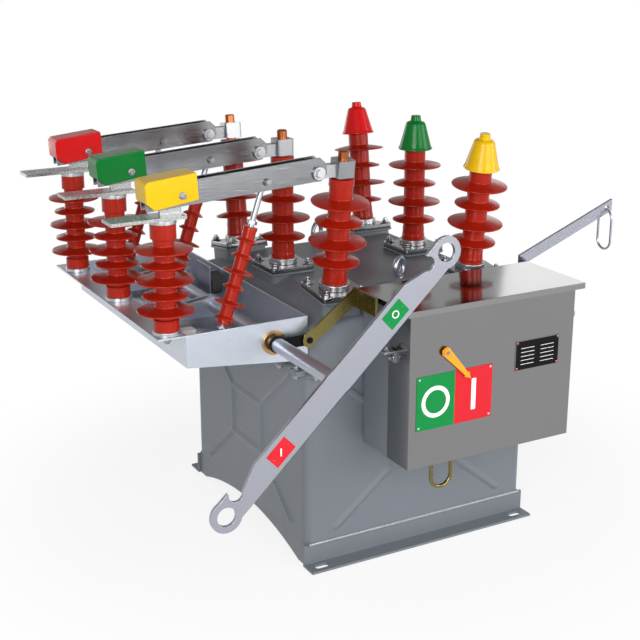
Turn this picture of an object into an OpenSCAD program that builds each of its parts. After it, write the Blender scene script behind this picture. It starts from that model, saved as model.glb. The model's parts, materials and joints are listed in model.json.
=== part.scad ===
// Outdoor vacuum circuit breaker with a three-pole isolator beside its tank.
// Millimetres, +Z up, front of the breaker towards -Y, isolator towards -X.
// The origin lies on the ground under the middle of the tank.

/* [Base] */
// Length of the front and back foot rails
rail_len = 530; // [500:5:600]
// Height of a rail's upright leg
rail_h = 46; // [36:1:60]
// Width of a rail's foot, outside the tank
rail_foot = 35; // [28:1:50]
// Thickness of the rails and skirts
rail_t = 5; // [4:0.5:8]
// Distance between the fixing slots along a rail
slot_span_x = 470; // [420:5:490]
// Length of a fixing slot
slot_len = 30; // [22:1:36]
// Width of a fixing slot
slot_w = 14; // [10:1:16]
// Rise of the arch under a side skirt
arch_h = 38; // [20:1:42]
// Length of a skirt's foot at each end
skirt_foot = 30; // [20:1:60]

/* [Tank] */
// Width of the tank, left to right
tank_w = 520; // [500:5:560]
// Depth of the tank, front to back
tank_d = 518; // [500:2:560]
// Height of the tank up to its joint with the cover
tank_h = 359; // [320:1:400]
// Radius of the tank's upright corners
tank_r = 18; // [8:1:30]
// Bolting ears along one side of the joint
ear_count = 8; // [4:1:10]
// Width of a bolting ear
ear_w = 30; // [24:1:40]
// How far the bolting ears stand out
ear_out = 18; // [14:1:24]
// Thickness of a bolting ear
ear_t = 5; // [4:0.5:8]
// Distance of the outer ears from the tank's corners
ear_in = 18; // [16:1:40]
// Width of a pressed rib at its root
rib_w = 18; // [12:1:28]
// Height of a pressed rib
rib_h = 4; // [2.5:0.5:8]
// Half width of the rib frame on a face
rib_frame_x = 68; // [50:1:110]
// Half height of the rib frame on a face
rib_frame_z = 52; // [40:1:80]
// Distance of the diagonal ribs' ends from a face's upright edges
rib_side = 66; // [50:1:90]
// Distance of the diagonal ribs' ends from a face's top and bottom
rib_end = 26; // [20:1:50]

/* [Cover housing] */
// Height of the housing's upright walls
cover_wall_h = 91; // [76:1:110]
// Height of the hipped roof
roof_h = 38; // [26:1:50]
// Run of the roof's slope
roof_run = 80; // [60:1:100]
// Side of a bushing turret
turret_side = 90; // [84:1:94]
// Side of the rim round a turret's top
rim_side = 98; // [95:1:99]
// Height of the rim round a turret's top
rim_h = 7; // [5:0.5:10]
// Side of a flange plate
plate_side = 96; // [88:1:98]
// Thickness of a flange plate
plate_t = 8; // [5:1:12]
// Bolt spacing on a flange plate
plate_bolts = 74; // [64:1:80]
// Height of the flange plates' tops above the roof
plate_rise = 16; // [12:1:24]
// Outer radius of a lifting eye
eye_r = 22; // [16:1:28]
// Wire radius of a lifting eye
eye_wire = 5; // [3:0.5:6]
// Distance of the lifting eyes from the edge of the roof's flat
eye_edge = 9; // [8.5:0.5:30]

/* [Phases] */
// Distance of the outer bushings from the tank's front and back
foot_in = 49; // [49:1:60]
// How far the outer bushings lean out up to the blades
fan_out = 30; // [16:1:36]
// Distance of the left bushing row from the tank's left side
left_row_in = 88; // [76:1:96]
// Distance of the right bushing row from the tank's right side
right_row_in = 117; // [104:1:124]

/* [Bushings] */
// Radius of a bushing's metal neck ring
neck_r = 29; // [26:0.5:34]
// Height of a bushing's metal neck ring
neck_h = 12; // [8:1:16]
// Radius of the insulator's core
core_r = 22; // [20:0.5:26]
// Radius of a large shed
shed_large = 55; // [46:1:58]
// Radius of a small shed
shed_small = 45; // [36:1:48]
// Height of the first shed
shed_first = 58; // [50:1:66]
// Distance between sheds
shed_step = 39; // [34:1:42]
// Height of a left insulator above its last shed
left_crown = 43; // [38:1:50]
// Height of a right insulator above its last shed, up to its cap
right_crown = 30; // [26:1:36]
// Height of a phase cap
cap_h = 70; // [62:1:80]
// Radius of a phase cap at its rim
cap_r = 35.5; // [32:0.5:40]
// Radius of a copper stud
stud_r = 10; // [8:0.5:12]
// Length of stud above the insulator
stud_h = 52; // [46:1:60]

/* [Blades] */
// Distance from the stud to the blade's pivot
pivot_reach = 58; // [54:1:66]
// Height of the blade's pivot above the left insulators
pivot_rise = 14; // [11:1:17]
// Slope of a closed blade
blade_slope = 3.7; // [2:0.1:5]
// How far a blade reaches past its post
blade_over = 35; // [22:1:42]
// Height of a blade bar
blade_h = 42; // [36:1:46]
// Height of a bar's centre line above the pivot
blade_lift = 6; // [3:0.5:9]
// Thickness of a blade bar
bar_t = 4.5; // [4:0.5:6]
// Space between the two bars of a blade
bar_gap = 19; // [18:0.5:24]
// Radius of the pivot pins
pivot_r = 8; // [6:0.5:9]
// Radius of the rod pins
pin_r = 6; // [5:0.5:7]
// Distance from the pivot to the rod pin
rod_arm = 103; // [98:1:108]
// Length of a blade cover
hood_len = 96; // [86:1:104]
// Height of a blade cover
hood_h = 54; // [48:1:58]
// Height of a blade cover's top above the bars
hood_rise = 15; // [10:1:18]
// Width of a blade cover
hood_w = 50; // [44:1:56]
// Wall of a blade cover
hood_t = 3; // [2:0.5:4]

/* [Posts] */
// Distance of the posts from the tray's left wall
post_out = 24; // [22:1:28]
// Height of a post insulator above its last shed
post_crown = 50.5; // [46:0.5:56]
// Radius of a post's core
post_core_r = 19; // [16:0.5:22]
// Radius of a post's large sheds
post_large = 51; // [44:1:54]
// Radius of a post's small sheds
post_small = 41; // [34:1:46]
// Height of the first post shed
post_first = 47.5; // [42:0.5:52]
// Length of a terminal pad beyond the post
pad_reach = 101; // [90:1:112]
// Width of a terminal pad
pad_w = 46; // [38:1:48]
// Thickness of a terminal pad
pad_t = 6; // [5:0.5:8]
// Clearance of a terminal pad under the blade
pad_gap = 10; // [8:0.5:14]
// Radius of the holes in a terminal pad
pad_hole_r = 6; // [5:0.5:7]
// Distance between the holes in a terminal pad
pad_hole_pitch = 40; // [30:1:44]
// Thickness of a fixed contact
contact_t = 8; // [6:0.5:8]

/* [Tray] */
// Width of the tray, from its left wall to the tank
tray_w = 243; // [232:1:254]
// Distance of the tray's front wall from the front phase
tray_front_over = 28; // [24:1:34]
// Distance of the tray's back wall from the back phase
tray_back_over = 60; // [40:1:70]
// Level of the tray's rim above the foot of the roof
tray_rise = 26; // [20:1:32]
// Depth of the tray at its left wall
tray_deep_left = 61; // [58:1:70]
// Depth of the tray at the tank
tray_deep_right = 87; // [80:1:90]
// Sheet thickness of the tray
tray_t = 3; // [2:0.5:4]
// Width of the ledge that carries the posts
ledge_w = 52; // [50:1:60]
// Height of the stop bracket above the tray's rim
stop_rise = 15; // [8:1:24]
// Width of the stop bracket
stop_w = 66; // [56:1:72]
// Radius of the round buffer
stop_r = 24; // [18:1:26]
// Length of the round buffer
stop_len = 26; // [18:1:30]

/* [Shaft and lever] */
// Distance of the shaft from the tank
shaft_out = 71; // [66:1:78]
// Depth of the shaft below the tray's rim
shaft_drop = 40; // [36:1:44]
// Outer radius of the shaft tube
shaft_r = 13.5; // [12:0.5:15]
// Wall of the shaft tube
shaft_wall = 3.5; // [2.5:0.5:5]
// Distance of the lever's front from the mechanism box's face
lever_gap = 84; // [70:1:96]
// Thickness of the lever
lever_t = 8; // [6:0.5:10]
// Distance from the shaft to the lever's end holes
lever_arm = 288; // [280:1:300]
// Slope of the lever
lever_slope = 43.2; // [38:0.1:48]
// Width of the lever
lever_w = 48; // [42:1:54]
// Radius of the lever's end holes
lever_hole_r = 17; // [13:0.5:18]
// Radius of the lever's ends
lever_end_r = 29; // [28:0.5:32]
// Radius of the lever's hook notches
notch_r = 13; // [10:0.5:15]
// Reach of the interlock crank
crank_reach = 63; // [58:1:66]
// Rise of the interlock link above the shaft
link_up = 71; // [60:1:80]
// Distance of the interlock link's end from the box
link_gap = 34; // [28:1:40]
// Width of the interlock link
link_w = 25; // [20:1:28]
// Thickness of the interlock link
link_t = 5; // [4:0.5:6]

/* [Pull rods] */
// Radius of a pull rod's core
rod_r = 12; // [10:0.5:14]
// Radius of a pull rod's large sheds
rod_large = 29; // [25:1:32]
// Radius of a pull rod's small sheds
rod_small = 20; // [17:1:24]
// Radius of a rod eye
rod_eye_r = 11; // [10:0.5:12]
// Thickness of a rod eye
rod_eye_t = 12; // [10:0.5:13]

/* [Mechanism box] */
// Distance of the box from the tank's left side
box_in = 124; // [118:1:136]
// Width of the box
box_w = 374; // [350:1:384]
// Depth of the painted frame
box_frame_d = 92; // [84:1:98]
// Depth of the stainless cover
box_cover_d = 73; // [66:1:80]
// Height of the box
box_h = 310; // [290:1:324]
// Top of the box above the foot of the roof
box_rise = 59; // [54:1:66]
// Sheet thickness of the lid
lid_t = 2; // [1.5:0.5:3]
// Depth of the lid's folded lip
lid_lip = 10; // [6:1:14]
// Overhang of the lid
lid_over = 13; // [8:1:18]
// Distance of the pointer's pivot from the box's left side
pointer_in = 76; // [66:1:86]
// Distance of the pointer's pivot from the box's top
pointer_drop = 89; // [78:1:100]
// Length of the pointer
pointer_len = 81; // [70:1:90]
// Slope of the pointer at rest
pointer_slope = -47; // [-52:1:-40]
// Radius of the pointer's pin
pointer_pin_r = 5; // [4:0.5:6]

/* [Charging handle and rings] */
// Distance of the handle's shaft from the box's face
handle_in = 60; // [50:1:63]
// Distance of the handle's shaft from the box's top
handle_drop = 77.8; // [70:0.1:86]
// Radius of the handle's shaft
handle_pin_r = 9; // [7:0.5:11]
// Distance of the handle's first length from the box
handle_off = 34; // [30:1:40]
// Least clearance of the handle's first length from the tank's side
handle_clear = 12; // [8:1:12]
// Distance of the handle's bend behind the box
handle_back = 59; // [50:1:66]
// Length of the handle's second length, left to right
handle_reach = 240; // [225:1:250]
// Slope of the handle
handle_slope = 21.3; // [18:0.1:24]
// Height of the handle's bar
handle_h = 25; // [20:1:30]
// Thickness of the handle's bar
handle_t = 6; // [5:0.5:8]
// Radius of the handle ring's arcs
ring_r = 20; // [16:1:24]
// Straight length of the handle ring
ring_len = 46; // [38:1:54]
// Wire radius of the handle ring
ring_wire = 2.5; // [2:0.25:3]
// Distance of the trip bow from the box's left side
trip_in = 100; // [90:1:110]
// Distance of the trip bow from the box's face
trip_back = 36; // [30:1:40]
// Radius of the trip bow
trip_r = 22.5; // [18:0.5:26]
// Wire radius of the trip bow
trip_wire = 4; // [3:0.25:5]
// Drop of the trip bow's legs below the box
trip_drop = 45; // [36:1:52]
// Travel of the trip bow
trip_travel = 25; // [15:1:30]

/* [Hidden] */

$fn = 48;
// Radial play of a turning pin in its bore
run = 0.05;
// Gap left between faces of pieces that turn on each other
face_gap = 0.3;
// Overlap used so that cuts pass right through
cut = 1;

FRONT = -1;
MIDDLE = 0;
BACK = 1;
PHASES = [FRONT, MIDDLE, BACK];

tank_z = rail_h;
joint_z = tank_z + tank_h;
roof_z = joint_z + cover_wall_h;
roof_top = roof_z + roof_h;
plate_level = roof_top + plate_rise;
left_row_x = -tank_w / 2 + left_row_in;
right_row_x = tank_w / 2 - right_row_in;
foot_pitch = tank_d / 2 - foot_in;
phase_pitch = foot_pitch + fan_out;
left_ins_h = shed_first + 3 * shed_step + left_crown;
right_ins_h = shed_first + 3 * shed_step + right_crown;
pivot_z = plate_level + left_ins_h + pivot_rise;
fan = atan(fan_out / (pivot_z - plate_level));

tray_right = -tank_w / 2;
tray_left = tray_right - tray_w;
tray_front = -phase_pitch - tray_front_over;
tray_back = phase_pitch + tray_back_over;
tray_top = roof_z + tray_rise;
post_row_x = tray_left - post_out;
shaft_x = tray_right - shaft_out;
shaft_z = tray_top - shaft_drop;
// Radius of the shaft bushes where they sit in the tray's walls
bush_r = shaft_r + 3.5;

pivot_x = left_row_x - pivot_reach;
bar_y = bar_gap / 2;
blade_half_w = bar_y + bar_t;
blade_len = pivot_x - post_row_x + blade_over;
blade_fall = (pivot_x - post_row_x) * tan(blade_slope);
blade_end_z = pivot_z - blade_len * sin(blade_slope) - (blade_h / 2 - blade_lift) * cos(blade_slope);
post_top = blade_end_z - pad_gap - pad_t;
post_h = post_top - tray_top;
post_step = (post_h - post_first - post_crown) / 4;
rod_pin_dx = -rod_arm * cos(blade_slope);
rod_pin_dz = -rod_arm * sin(blade_slope);
rod_dx = pivot_x - shaft_x;
rod_dz = pivot_z - shaft_z;
rod_span = norm([rod_dx, rod_dz]);
rod_lean = atan(rod_dx / rod_dz);

box_left = -tank_w / 2 + box_in;
box_right = box_left + box_w;
box_top = roof_z + box_rise;
box_bottom = box_top - box_h;
box_back = -tank_d / 2;
box_split = box_back - box_frame_d;
box_face = box_split - box_cover_d;
lever_y = box_face - lever_gap;
crank_y = tray_front - 14;
crank_t = 6;
pointer_x = box_left + pointer_in;
pointer_z = box_top - pointer_drop;
handle_y = box_face + handle_in;
handle_z = box_top - handle_drop;
handle_bend_y = box_back + handle_back;
handle_x = max(box_right + handle_off, tank_w / 2 + handle_clear);
// Radius of the hole in the handle's tip, and its distance from the end
tip_hole_r = 6;
tip_in = 14;
tip_x = handle_x + handle_reach - tip_in;
tip_z = handle_z + (handle_bend_y - handle_y + handle_reach - tip_in) * tan(handle_slope);
trip_x = box_left + trip_in;
trip_y = box_face + trip_back;
// Length of the trip bow's legs that stays in the box at full travel
trip_hold = 20;

// Bar with a trapezoid section, lying on the XY plane from one point to another
module rib(from, to) {
  run_x = to[0] - from[0];
  run_y = to[1] - from[1];
  span = norm([run_x, run_y]);
  translate([from[0], from[1], 0])
    rotate([0, 0, atan2(run_y, run_x)])
      rotate([90, 0, 90])
        linear_extrude(span)
          polygon([[-rib_w / 2, -rib_h], [rib_w / 2, -rib_h], [rib_w / 2, 0],
                   [rib_w / 4, rib_h], [-rib_w / 4, rib_h], [-rib_w / 2, 0]]);
}

// Upright block with rounded corners, centred on the Z axis
module round_block(w, d, h, r) {
  translate([-w / 2 + r, -d / 2, 0]) cube([w - 2 * r, d, h]);
  translate([-w / 2, -d / 2 + r, 0]) cube([w, d - 2 * r, h]);
  for (sx = [-1, 1], sy = [-1, 1])
    translate([sx * (w / 2 - r), sy * (d / 2 - r), 0]) cylinder(r = r, h = h);
}

// Cylinder along +Y
module bar_y_cyl(r, from, to) {
  translate([0, from, 0]) rotate([-90, 0, 0]) cylinder(r = r, h = to - from);
}

// Cylinder along +X
module bar_x_cyl(r, from, to) {
  translate([from, 0, 0]) rotate([0, 90, 0]) cylinder(r = r, h = to - from);
}

// Outline of one drooping shed on a core, from its root below to its root above
function shed_points(z, r, core, droop, crown, rim) = [
  [core, z - 0.4 * droop], [core + (r - core) / 4, z - 0.55 * droop], [r - 1.5 * rim, z - droop],
  [r - 0.3 * rim, z - droop + 0.3 * rim], [r, z - droop + rim], [r - 0.5 * rim, z - droop + 1.8 * rim],
  [core + (r - core) / 7, z + 0.75 * crown], [core + (r - core) / 30, z + crown], [core, z + 1.3 * crown]
];

// Sheds in turn, given as heights with radii, joined into one list of points
function shed_outline(sheds, core, droop, crown, rim) =
  [for (s = sheds) each shed_points(s[0], s[1], core, droop, crown, rim)];

// Turned insulator: a waisted foot with a bead round it, the shedded core and a stout head
module insulator(h, core, foot_h, head_h, sheds, droop, crown, rim, swell) {
  bead = [for (t = [[0, 0.5], [0.22, 0.5], [0.32, 1], [0.52, 1], [0.64, 0.5], [1, 0.4]])
    [core + t[1] * swell, t[0] * foot_h]];
  head = core + 0.8 * swell;
  rotate_extrude()
    polygon(concat(
      [[0, 0]], bead, [[core, foot_h + swell]],
      shed_outline(sheds, core, droop, crown, rim),
      [[core, h - head_h - swell], [head, h - head_h], [head, h], [0, h]]));
}

// Place of a bushing on its turret, with its axis fanned out along the phases
module at_bushing(row_x, phase) {
  translate([row_x, phase * foot_pitch, plate_level])
    rotate([-phase * fan, 0, 0])
      children();
}

// Place of a closed blade, pointing towards -X from its pivot
module at_blade(phase) {
  translate([pivot_x, phase * phase_pitch, pivot_z])
    rotate([0, -blade_slope, 0])
      children();
}

// Foot rail: an angle with two slotted holes in its foot
module foot_rail(side) {
  wall_y = tank_d / 2;
  slot_run = slot_len - slot_w;
  half_turn = side > 0 ? 0 : 180;
  rotate([0, 0, half_turn])
    difference() {
      translate([-rail_len / 2, 0, 0])
        union() {
          translate([0, wall_y - rail_t, 0]) cube([rail_len, rail_t, rail_h]);
          translate([0, wall_y - rail_t, 0]) cube([rail_len, rail_foot + rail_t, rail_t]);
        }
      for (sx = [-1, 1])
        translate([sx * slot_span_x / 2, wall_y + rail_foot / 2, -cut]) {
          translate([-slot_run / 2, -slot_w / 2, 0]) cube([slot_run, slot_w, rail_t + 2 * cut]);
          for (end = [-1, 1])
            translate([end * slot_run / 2, 0, 0]) cylinder(d = slot_w, h = rail_t + 2 * cut);
        }
    }
}

module base_rail_front() {
  color("slategray") foot_rail(FRONT);
}

module base_rail_back() {
  color("slategray") foot_rail(BACK);
}

// Points of a circular arch from its left foot to its right foot
function arch_points(half, rise, steps = 16) =
  let (r = (half * half + rise * rise) / (2 * rise), sweep = asin(half / r))
  [for (i = [-steps:steps]) let (t = sweep * i / steps) [r * sin(t), rise - r * (1 - cos(t))]];

// Side skirts between the rails, each cut out below as one wide arch
module base_skirts() {
  skirt_len = tank_d - 2 * rail_t;
  arch_half = skirt_len / 2 - skirt_foot;
  color("slategray")
    for (sx = [-1, 1])
      translate([sx * (tank_w / 2 - rail_t / 2) - rail_t / 2, 0, 0])
        rotate([90, 0, 90])
          linear_extrude(rail_t)
            polygon(concat([[-skirt_len / 2, 0]], arch_points(arch_half, arch_h),
                           [[skirt_len / 2, 0], [skirt_len / 2, rail_h], [-skirt_len / 2, rail_h]]));
}

// Rib pattern of one tank face, in the face's own plane
module face_ribs(face_w) {
  reach_x = face_w / 2 - rib_side;
  reach_z = tank_h / 2 - rib_end;
  knot_low = rib_w / 2 + 3;
  knot_high = rib_w / 4 + 1.5;
  knot_over = 0.2;
  for (sx = [-1, 1]) {
    rib([sx * rib_frame_x, -rib_frame_z], [sx * rib_frame_x, rib_frame_z]);
    rib([-rib_frame_x, sx * rib_frame_z], [rib_frame_x, sx * rib_frame_z]);
    for (sz = [-1, 1]) {
      rib([sx * rib_frame_x, sz * rib_frame_z], [sx * reach_x, sz * reach_z]);
      for (knot = [[rib_frame_x, rib_frame_z], [reach_x, reach_z]])
        translate([sx * knot[0], sz * knot[1], -rib_h])
          cylinder(r1 = knot_low, r2 = knot_high, h = 2 * rib_h + knot_over);
    }
  }
}

// Bolting ears round the joint, standing on a level, left out behind the mechanism box
module joint_ears(level) {
  for (turn = [0, 90, 180, 270]) {
    half_run = (turn % 180 == 0 ? tank_w : tank_d) / 2;
    half_out = (turn % 180 == 0 ? tank_d : tank_w) / 2;
    for (i = [0:ear_count - 1]) {
      along = (half_run - ear_in) * (2 * i / (ear_count - 1) - 1);
      if (turn > 0 || along < box_left - ear_w || along > box_right + ear_w)
        rotate([0, 0, turn])
          translate([along - ear_w / 2, -half_out - ear_out, level])
            cube([ear_w, ear_out + tank_r, ear_t]);
    }
  }
}

module tank_body() {
  mid_z = tank_z + tank_h / 2;
  color("slategray") {
    translate([0, 0, tank_z]) round_block(tank_w, tank_d, tank_h, tank_r);
    joint_ears(joint_z - ear_t);
    for (turn = [0, 180]) {
      rotate([0, 0, turn]) translate([0, -tank_d / 2, mid_z]) rotate([90, 0, 0]) face_ribs(tank_w);
      rotate([0, 0, turn + 90]) translate([0, -tank_w / 2, mid_z]) rotate([90, 0, 0]) face_ribs(tank_d);
    }
  }
}

// Hipped roof with a flat top, as two crossing trapezoid prisms
module hip_roof(w, d, h, slope_run) {
  intersection() {
    rotate([90, 0, 0])
      translate([0, 0, -d / 2])
        linear_extrude(d)
          polygon([[-w / 2, -cut], [w / 2, -cut], [w / 2, 0], [w / 2 - slope_run, h],
                   [-w / 2 + slope_run, h], [-w / 2, 0]]);
    rotate([90, 0, 90])
      translate([0, 0, -w / 2])
        linear_extrude(w)
          polygon([[-d / 2, -cut], [d / 2, -cut], [d / 2, 0], [d / 2 - slope_run, h],
                   [-d / 2 + slope_run, h], [-d / 2, 0]]);
  }
}

module tank_cover() {
  turret_r = 12;
  turret_depth = 76;
  rim_r = 9;
  color("slategray") {
    translate([0, 0, joint_z]) round_block(tank_w, tank_d, cover_wall_h, tank_r);
    joint_ears(joint_z);
    intersection() {
      translate([0, 0, roof_z]) hip_roof(tank_w, tank_d, roof_h, roof_run);
      translate([0, 0, joint_z]) round_block(tank_w, tank_d, cover_wall_h + roof_h + cut, tank_r);
    }
    for (row_x = [left_row_x, right_row_x], phase = PHASES)
      at_bushing(row_x, phase) {
        translate([0, 0, -plate_t - turret_depth])
          round_block(turret_side, turret_side, turret_depth, turret_r);
        translate([0, 0, -plate_t - rim_h])
          round_block(rim_side, rim_side, rim_h, rim_r);
      }
  }
}

// Clamping plates of one bushing row, drilled at their corners
module flange_plates(row_x) {
  bolt_r = 4.5;
  plate_r = 8;
  color("gray")
    for (phase = PHASES)
      at_bushing(row_x, phase)
        translate([0, 0, -plate_t])
          difference() {
            round_block(plate_side, plate_side, plate_t, plate_r);
            for (sx = [-1, 1], sy = [-1, 1])
              translate([sx * plate_bolts / 2, sy * plate_bolts / 2, -cut])
                cylinder(r = bolt_r, h = plate_t + 2 * cut);
          }
}

module left_flange_plates() {
  flange_plates(left_row_x);
}

module right_flange_plates() {
  flange_plates(right_row_x);
}

// Two eye bolts on the roof's flat, between the bushing rows
module lifting_eyes() {
  shank_r = 8;
  shank_h = 7;
  eye_turn = 30;
  eye_y = tank_d / 2 - roof_run - eye_edge;
  color("silver")
    for (sy = [-1, 1])
      translate([0, sy * eye_y, roof_top]) {
        cylinder(r = shank_r, h = shank_h);
        translate([0, 0, shank_h + eye_r - eye_wire])
          rotate([90, 0, eye_turn])
            rotate_extrude()
              translate([eye_r - eye_wire, 0]) circle(r = eye_wire);
      }
}

// Painted back half of the box, relieved behind for the tank's ribs
module mechanism_frame() {
  frame_w = box_right - box_left;
  rib_room = rib_h + 2 * face_gap;
  color("dimgray")
    difference() {
      translate([box_left, box_split, box_bottom])
        cube([frame_w, box_frame_d, box_top - box_bottom]);
      translate([box_left - cut, box_back - rib_room, box_bottom - cut])
        cube([frame_w + 2 * cut, rib_room + cut, joint_z - box_bottom]);
    }
}

// Stainless front half of the box, bored for the pointer, the handle and the trip bow
module mechanism_cover() {
  bore_depth = 24;
  trip_bore = trip_travel + trip_hold + 15;
  color("lightgray")
    difference() {
      translate([box_left, box_face, box_bottom])
        cube([box_right - box_left, box_cover_d, box_top - box_bottom]);
      translate([pointer_x, 0, pointer_z])
        bar_y_cyl(pointer_pin_r + run, box_face - cut, box_face + bore_depth);
      translate([0, handle_y, handle_z])
        bar_x_cyl(handle_pin_r + run, box_right - bore_depth, box_right + cut);
      for (leg = [-trip_r, trip_r])
        translate([trip_x + leg, trip_y, box_bottom - cut])
          cylinder(r = trip_wire + run, h = trip_bore + cut);
    }
}

// Folded lid with a lip on three sides
module mechanism_lid() {
  lid_left = box_left - lid_over;
  lid_w = box_right - box_left + 2 * lid_over;
  lid_front = box_face - lid_over;
  lid_d = box_back - lid_front;
  color("silver")
    difference() {
      translate([lid_left, lid_front, box_top - lid_lip]) cube([lid_w, lid_d, lid_lip + lid_t]);
      translate([lid_left + lid_t, lid_front + lid_t, box_top - lid_lip - cut])
        cube([lid_w - 2 * lid_t, lid_d + cut, lid_lip + cut]);
    }
}

// Shedded bushing on its metal neck ring
module bushing(row_x, phase, h, head_h) {
  foot_h = 38;
  swell = 2;
  sheds = [for (i = [0:3]) [shed_first + i * shed_step, i % 2 == 0 ? shed_small : shed_large]];
  color("firebrick")
    at_bushing(row_x, phase) {
      cylinder(r = neck_r, h = neck_h);
      insulator(h, core_r, foot_h, head_h, sheds, 7, 6, 2, swell);
    }
}

// Bushing of the left row, with a stout head under its clamp
module left_bushing(phase) {
  head_h = 16;
  bushing(left_row_x, phase, left_ins_h, head_h);
}

// Bushing of the right row, whose head is under its cap
module right_bushing(phase) {
  head_h = 1;
  bushing(right_row_x, phase, right_ins_h, head_h);
}

module left_bushing_front() {
  left_bushing(FRONT);
}

module left_bushing_middle() {
  left_bushing(MIDDLE);
}

module left_bushing_back() {
  left_bushing(BACK);
}

module right_bushing_front() {
  right_bushing(FRONT);
}

module right_bushing_middle() {
  right_bushing(MIDDLE);
}

module right_bushing_back() {
  right_bushing(BACK);
}

// Bell-shaped phase cap on a right bushing
module phase_cap(phase) {
  lip_h = 2;
  lip = 2.5;
  shoulder_r = 20;
  shoulder_h = 16;
  crown_r = 17;
  nipple_low = 11;
  nipple_top = 10;
  shoulder_z = cap_h - shoulder_h;
  at_bushing(right_row_x, phase)
    translate([0, 0, right_ins_h])
      rotate_extrude()
        polygon([[0, 0], [cap_r, 0], [cap_r, lip_h], [cap_r - lip, lip_h + 4], [shoulder_r, shoulder_z],
                 [crown_r, shoulder_z + 3], [nipple_low, shoulder_z + 5], [nipple_top, cap_h], [0, cap_h]]);
}

module phase_cap_front() {
  color("gold") phase_cap(FRONT);
}

module phase_cap_middle() {
  color("forestgreen") phase_cap(MIDDLE);
}

module phase_cap_back() {
  color("crimson") phase_cap(BACK);
}

module copper_studs() {
  tip = 2;
  color("peru")
    for (phase = PHASES)
      at_bushing(left_row_x, phase)
        translate([0, 0, left_ins_h]) {
          cylinder(r = stud_r, h = stud_h - tip);
          translate([0, 0, stud_h - tip]) cylinder(r1 = stud_r, r2 = stud_r - tip, h = tip);
        }
}

// Split clamps on the studs, each with a tongue that carries a blade's pivot
module terminal_clamps() {
  clamp_h = 32;
  clamp_w = 36;
  clamp_edge = 5;
  clamp_base = 3;
  tongue_h = 24;
  tongue_r = 17;
  tongue_t = bar_gap - 2 * face_gap;
  slit = 3;
  color("gainsboro")
    for (phase = PHASES)
      difference() {
        union() {
          at_bushing(left_row_x, phase)
            translate([0, 0, left_ins_h + clamp_base])
              round_block(clamp_w, clamp_w, clamp_h, clamp_edge);
          translate([0, phase * phase_pitch, pivot_z]) {
            translate([pivot_x, -tongue_t / 2, -tongue_h / 2])
              cube([pivot_reach, tongue_t, tongue_h]);
            translate([pivot_x, 0, 0]) bar_y_cyl(tongue_r, -tongue_t / 2, tongue_t / 2);
          }
        }
        translate([pivot_x, phase * phase_pitch, pivot_z])
          bar_y_cyl(pivot_r + run, -tongue_t, tongue_t);
        at_bushing(left_row_x, phase)
          translate([0, 0, left_ins_h - cut])
            cylinder(r = stud_r, h = stud_h + clamp_h);
        at_bushing(left_row_x, phase)
          translate([0, -slit / 2, left_ins_h - cut])
            cube([clamp_w / 2 + cut, slit, stud_h + clamp_h]);
      }
}

// Cross-section of the tray in the X-Z plane, grown inwards by a wall
module tray_profile(inset, rise) {
  polygon([[tray_left + inset, tray_top + rise],
           [tray_left + inset, tray_top - tray_deep_left + inset],
           [tray_right - inset, tray_top - tray_deep_right + inset],
           [tray_right - inset, tray_top + rise]]);
}

// Galvanised pan with a ledge for the posts along its left rim
module isolator_tray() {
  tray_len = tray_back - tray_front;
  color("lightsteelblue")
    difference() {
      union() {
        translate([0, tray_back, 0])
          rotate([90, 0, 0]) linear_extrude(tray_len) tray_profile(0, 0);
        translate([tray_left - ledge_w, tray_front, tray_top - tray_t])
          cube([ledge_w + tray_t, tray_len, tray_t]);
      }
      translate([0, tray_back - tray_t, 0])
        rotate([90, 0, 0]) linear_extrude(tray_len - 2 * tray_t) tray_profile(tray_t, cut);
      translate([shaft_x, 0, shaft_z])
        bar_y_cyl(bush_r, tray_front - cut, tray_back + cut);
    }
}

// Flanged bush in a tray wall, its flange towards +Y
module shaft_bush() {
  flange_r = bush_r + 6;
  flange_t = 5;
  body_len = tray_t + 5;
  difference() {
    union() {
      bar_y_cyl(flange_r, 0, flange_t);
      bar_y_cyl(bush_r, -body_len, cut);
    }
    bar_y_cyl(shaft_r + run, -body_len - cut, flange_t + cut);
  }
}

module shaft_collars() {
  color("darkgoldenrod")
    translate([shaft_x, 0, shaft_z]) {
      translate([0, tray_front, 0]) rotate([0, 0, 180]) shaft_bush();
      translate([0, tray_back, 0]) shaft_bush();
    }
}

// Level of the tray's sloping floor
function floor_z(x) =
  tray_top - tray_deep_left + tray_t
  - (tray_deep_right - tray_deep_left) * (x - tray_left - tray_t) / (tray_w - 2 * tray_t);

// Upright bracket with a round buffer, and a small block on the tray's left wall
module stop_brackets() {
  plate = 4;
  seat = 0.1;
  shaft_room = 15.5;
  buffer_rise = 16;
  plate_shift = 16;
  plate_x = shaft_x + shaft_r + shaft_room;
  plate_y = (phase_pitch - plate_shift) / 2;
  buffer_y = plate_y - stop_w / 2 + buffer_rise;
  buffer_z = tray_top - shaft_drop + buffer_rise;
  block = [50, 24, 22];
  block_y = -phase_pitch / 4 * 3;
  color("dimgray") {
    translate([0, plate_y + stop_w / 2, 0])
      rotate([90, 0, 0])
        linear_extrude(stop_w)
          polygon([[plate_x, floor_z(plate_x) + seat], [plate_x + plate, floor_z(plate_x + plate) + seat],
                   [plate_x + plate, tray_top + stop_rise], [plate_x, tray_top + stop_rise]]);
    translate([0, buffer_y, buffer_z]) bar_x_cyl(stop_r, plate_x + 1, plate_x + plate + stop_len);
    translate([tray_left + tray_t, block_y - block[1] / 2, shaft_z]) cube(block);
  }
}

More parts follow.
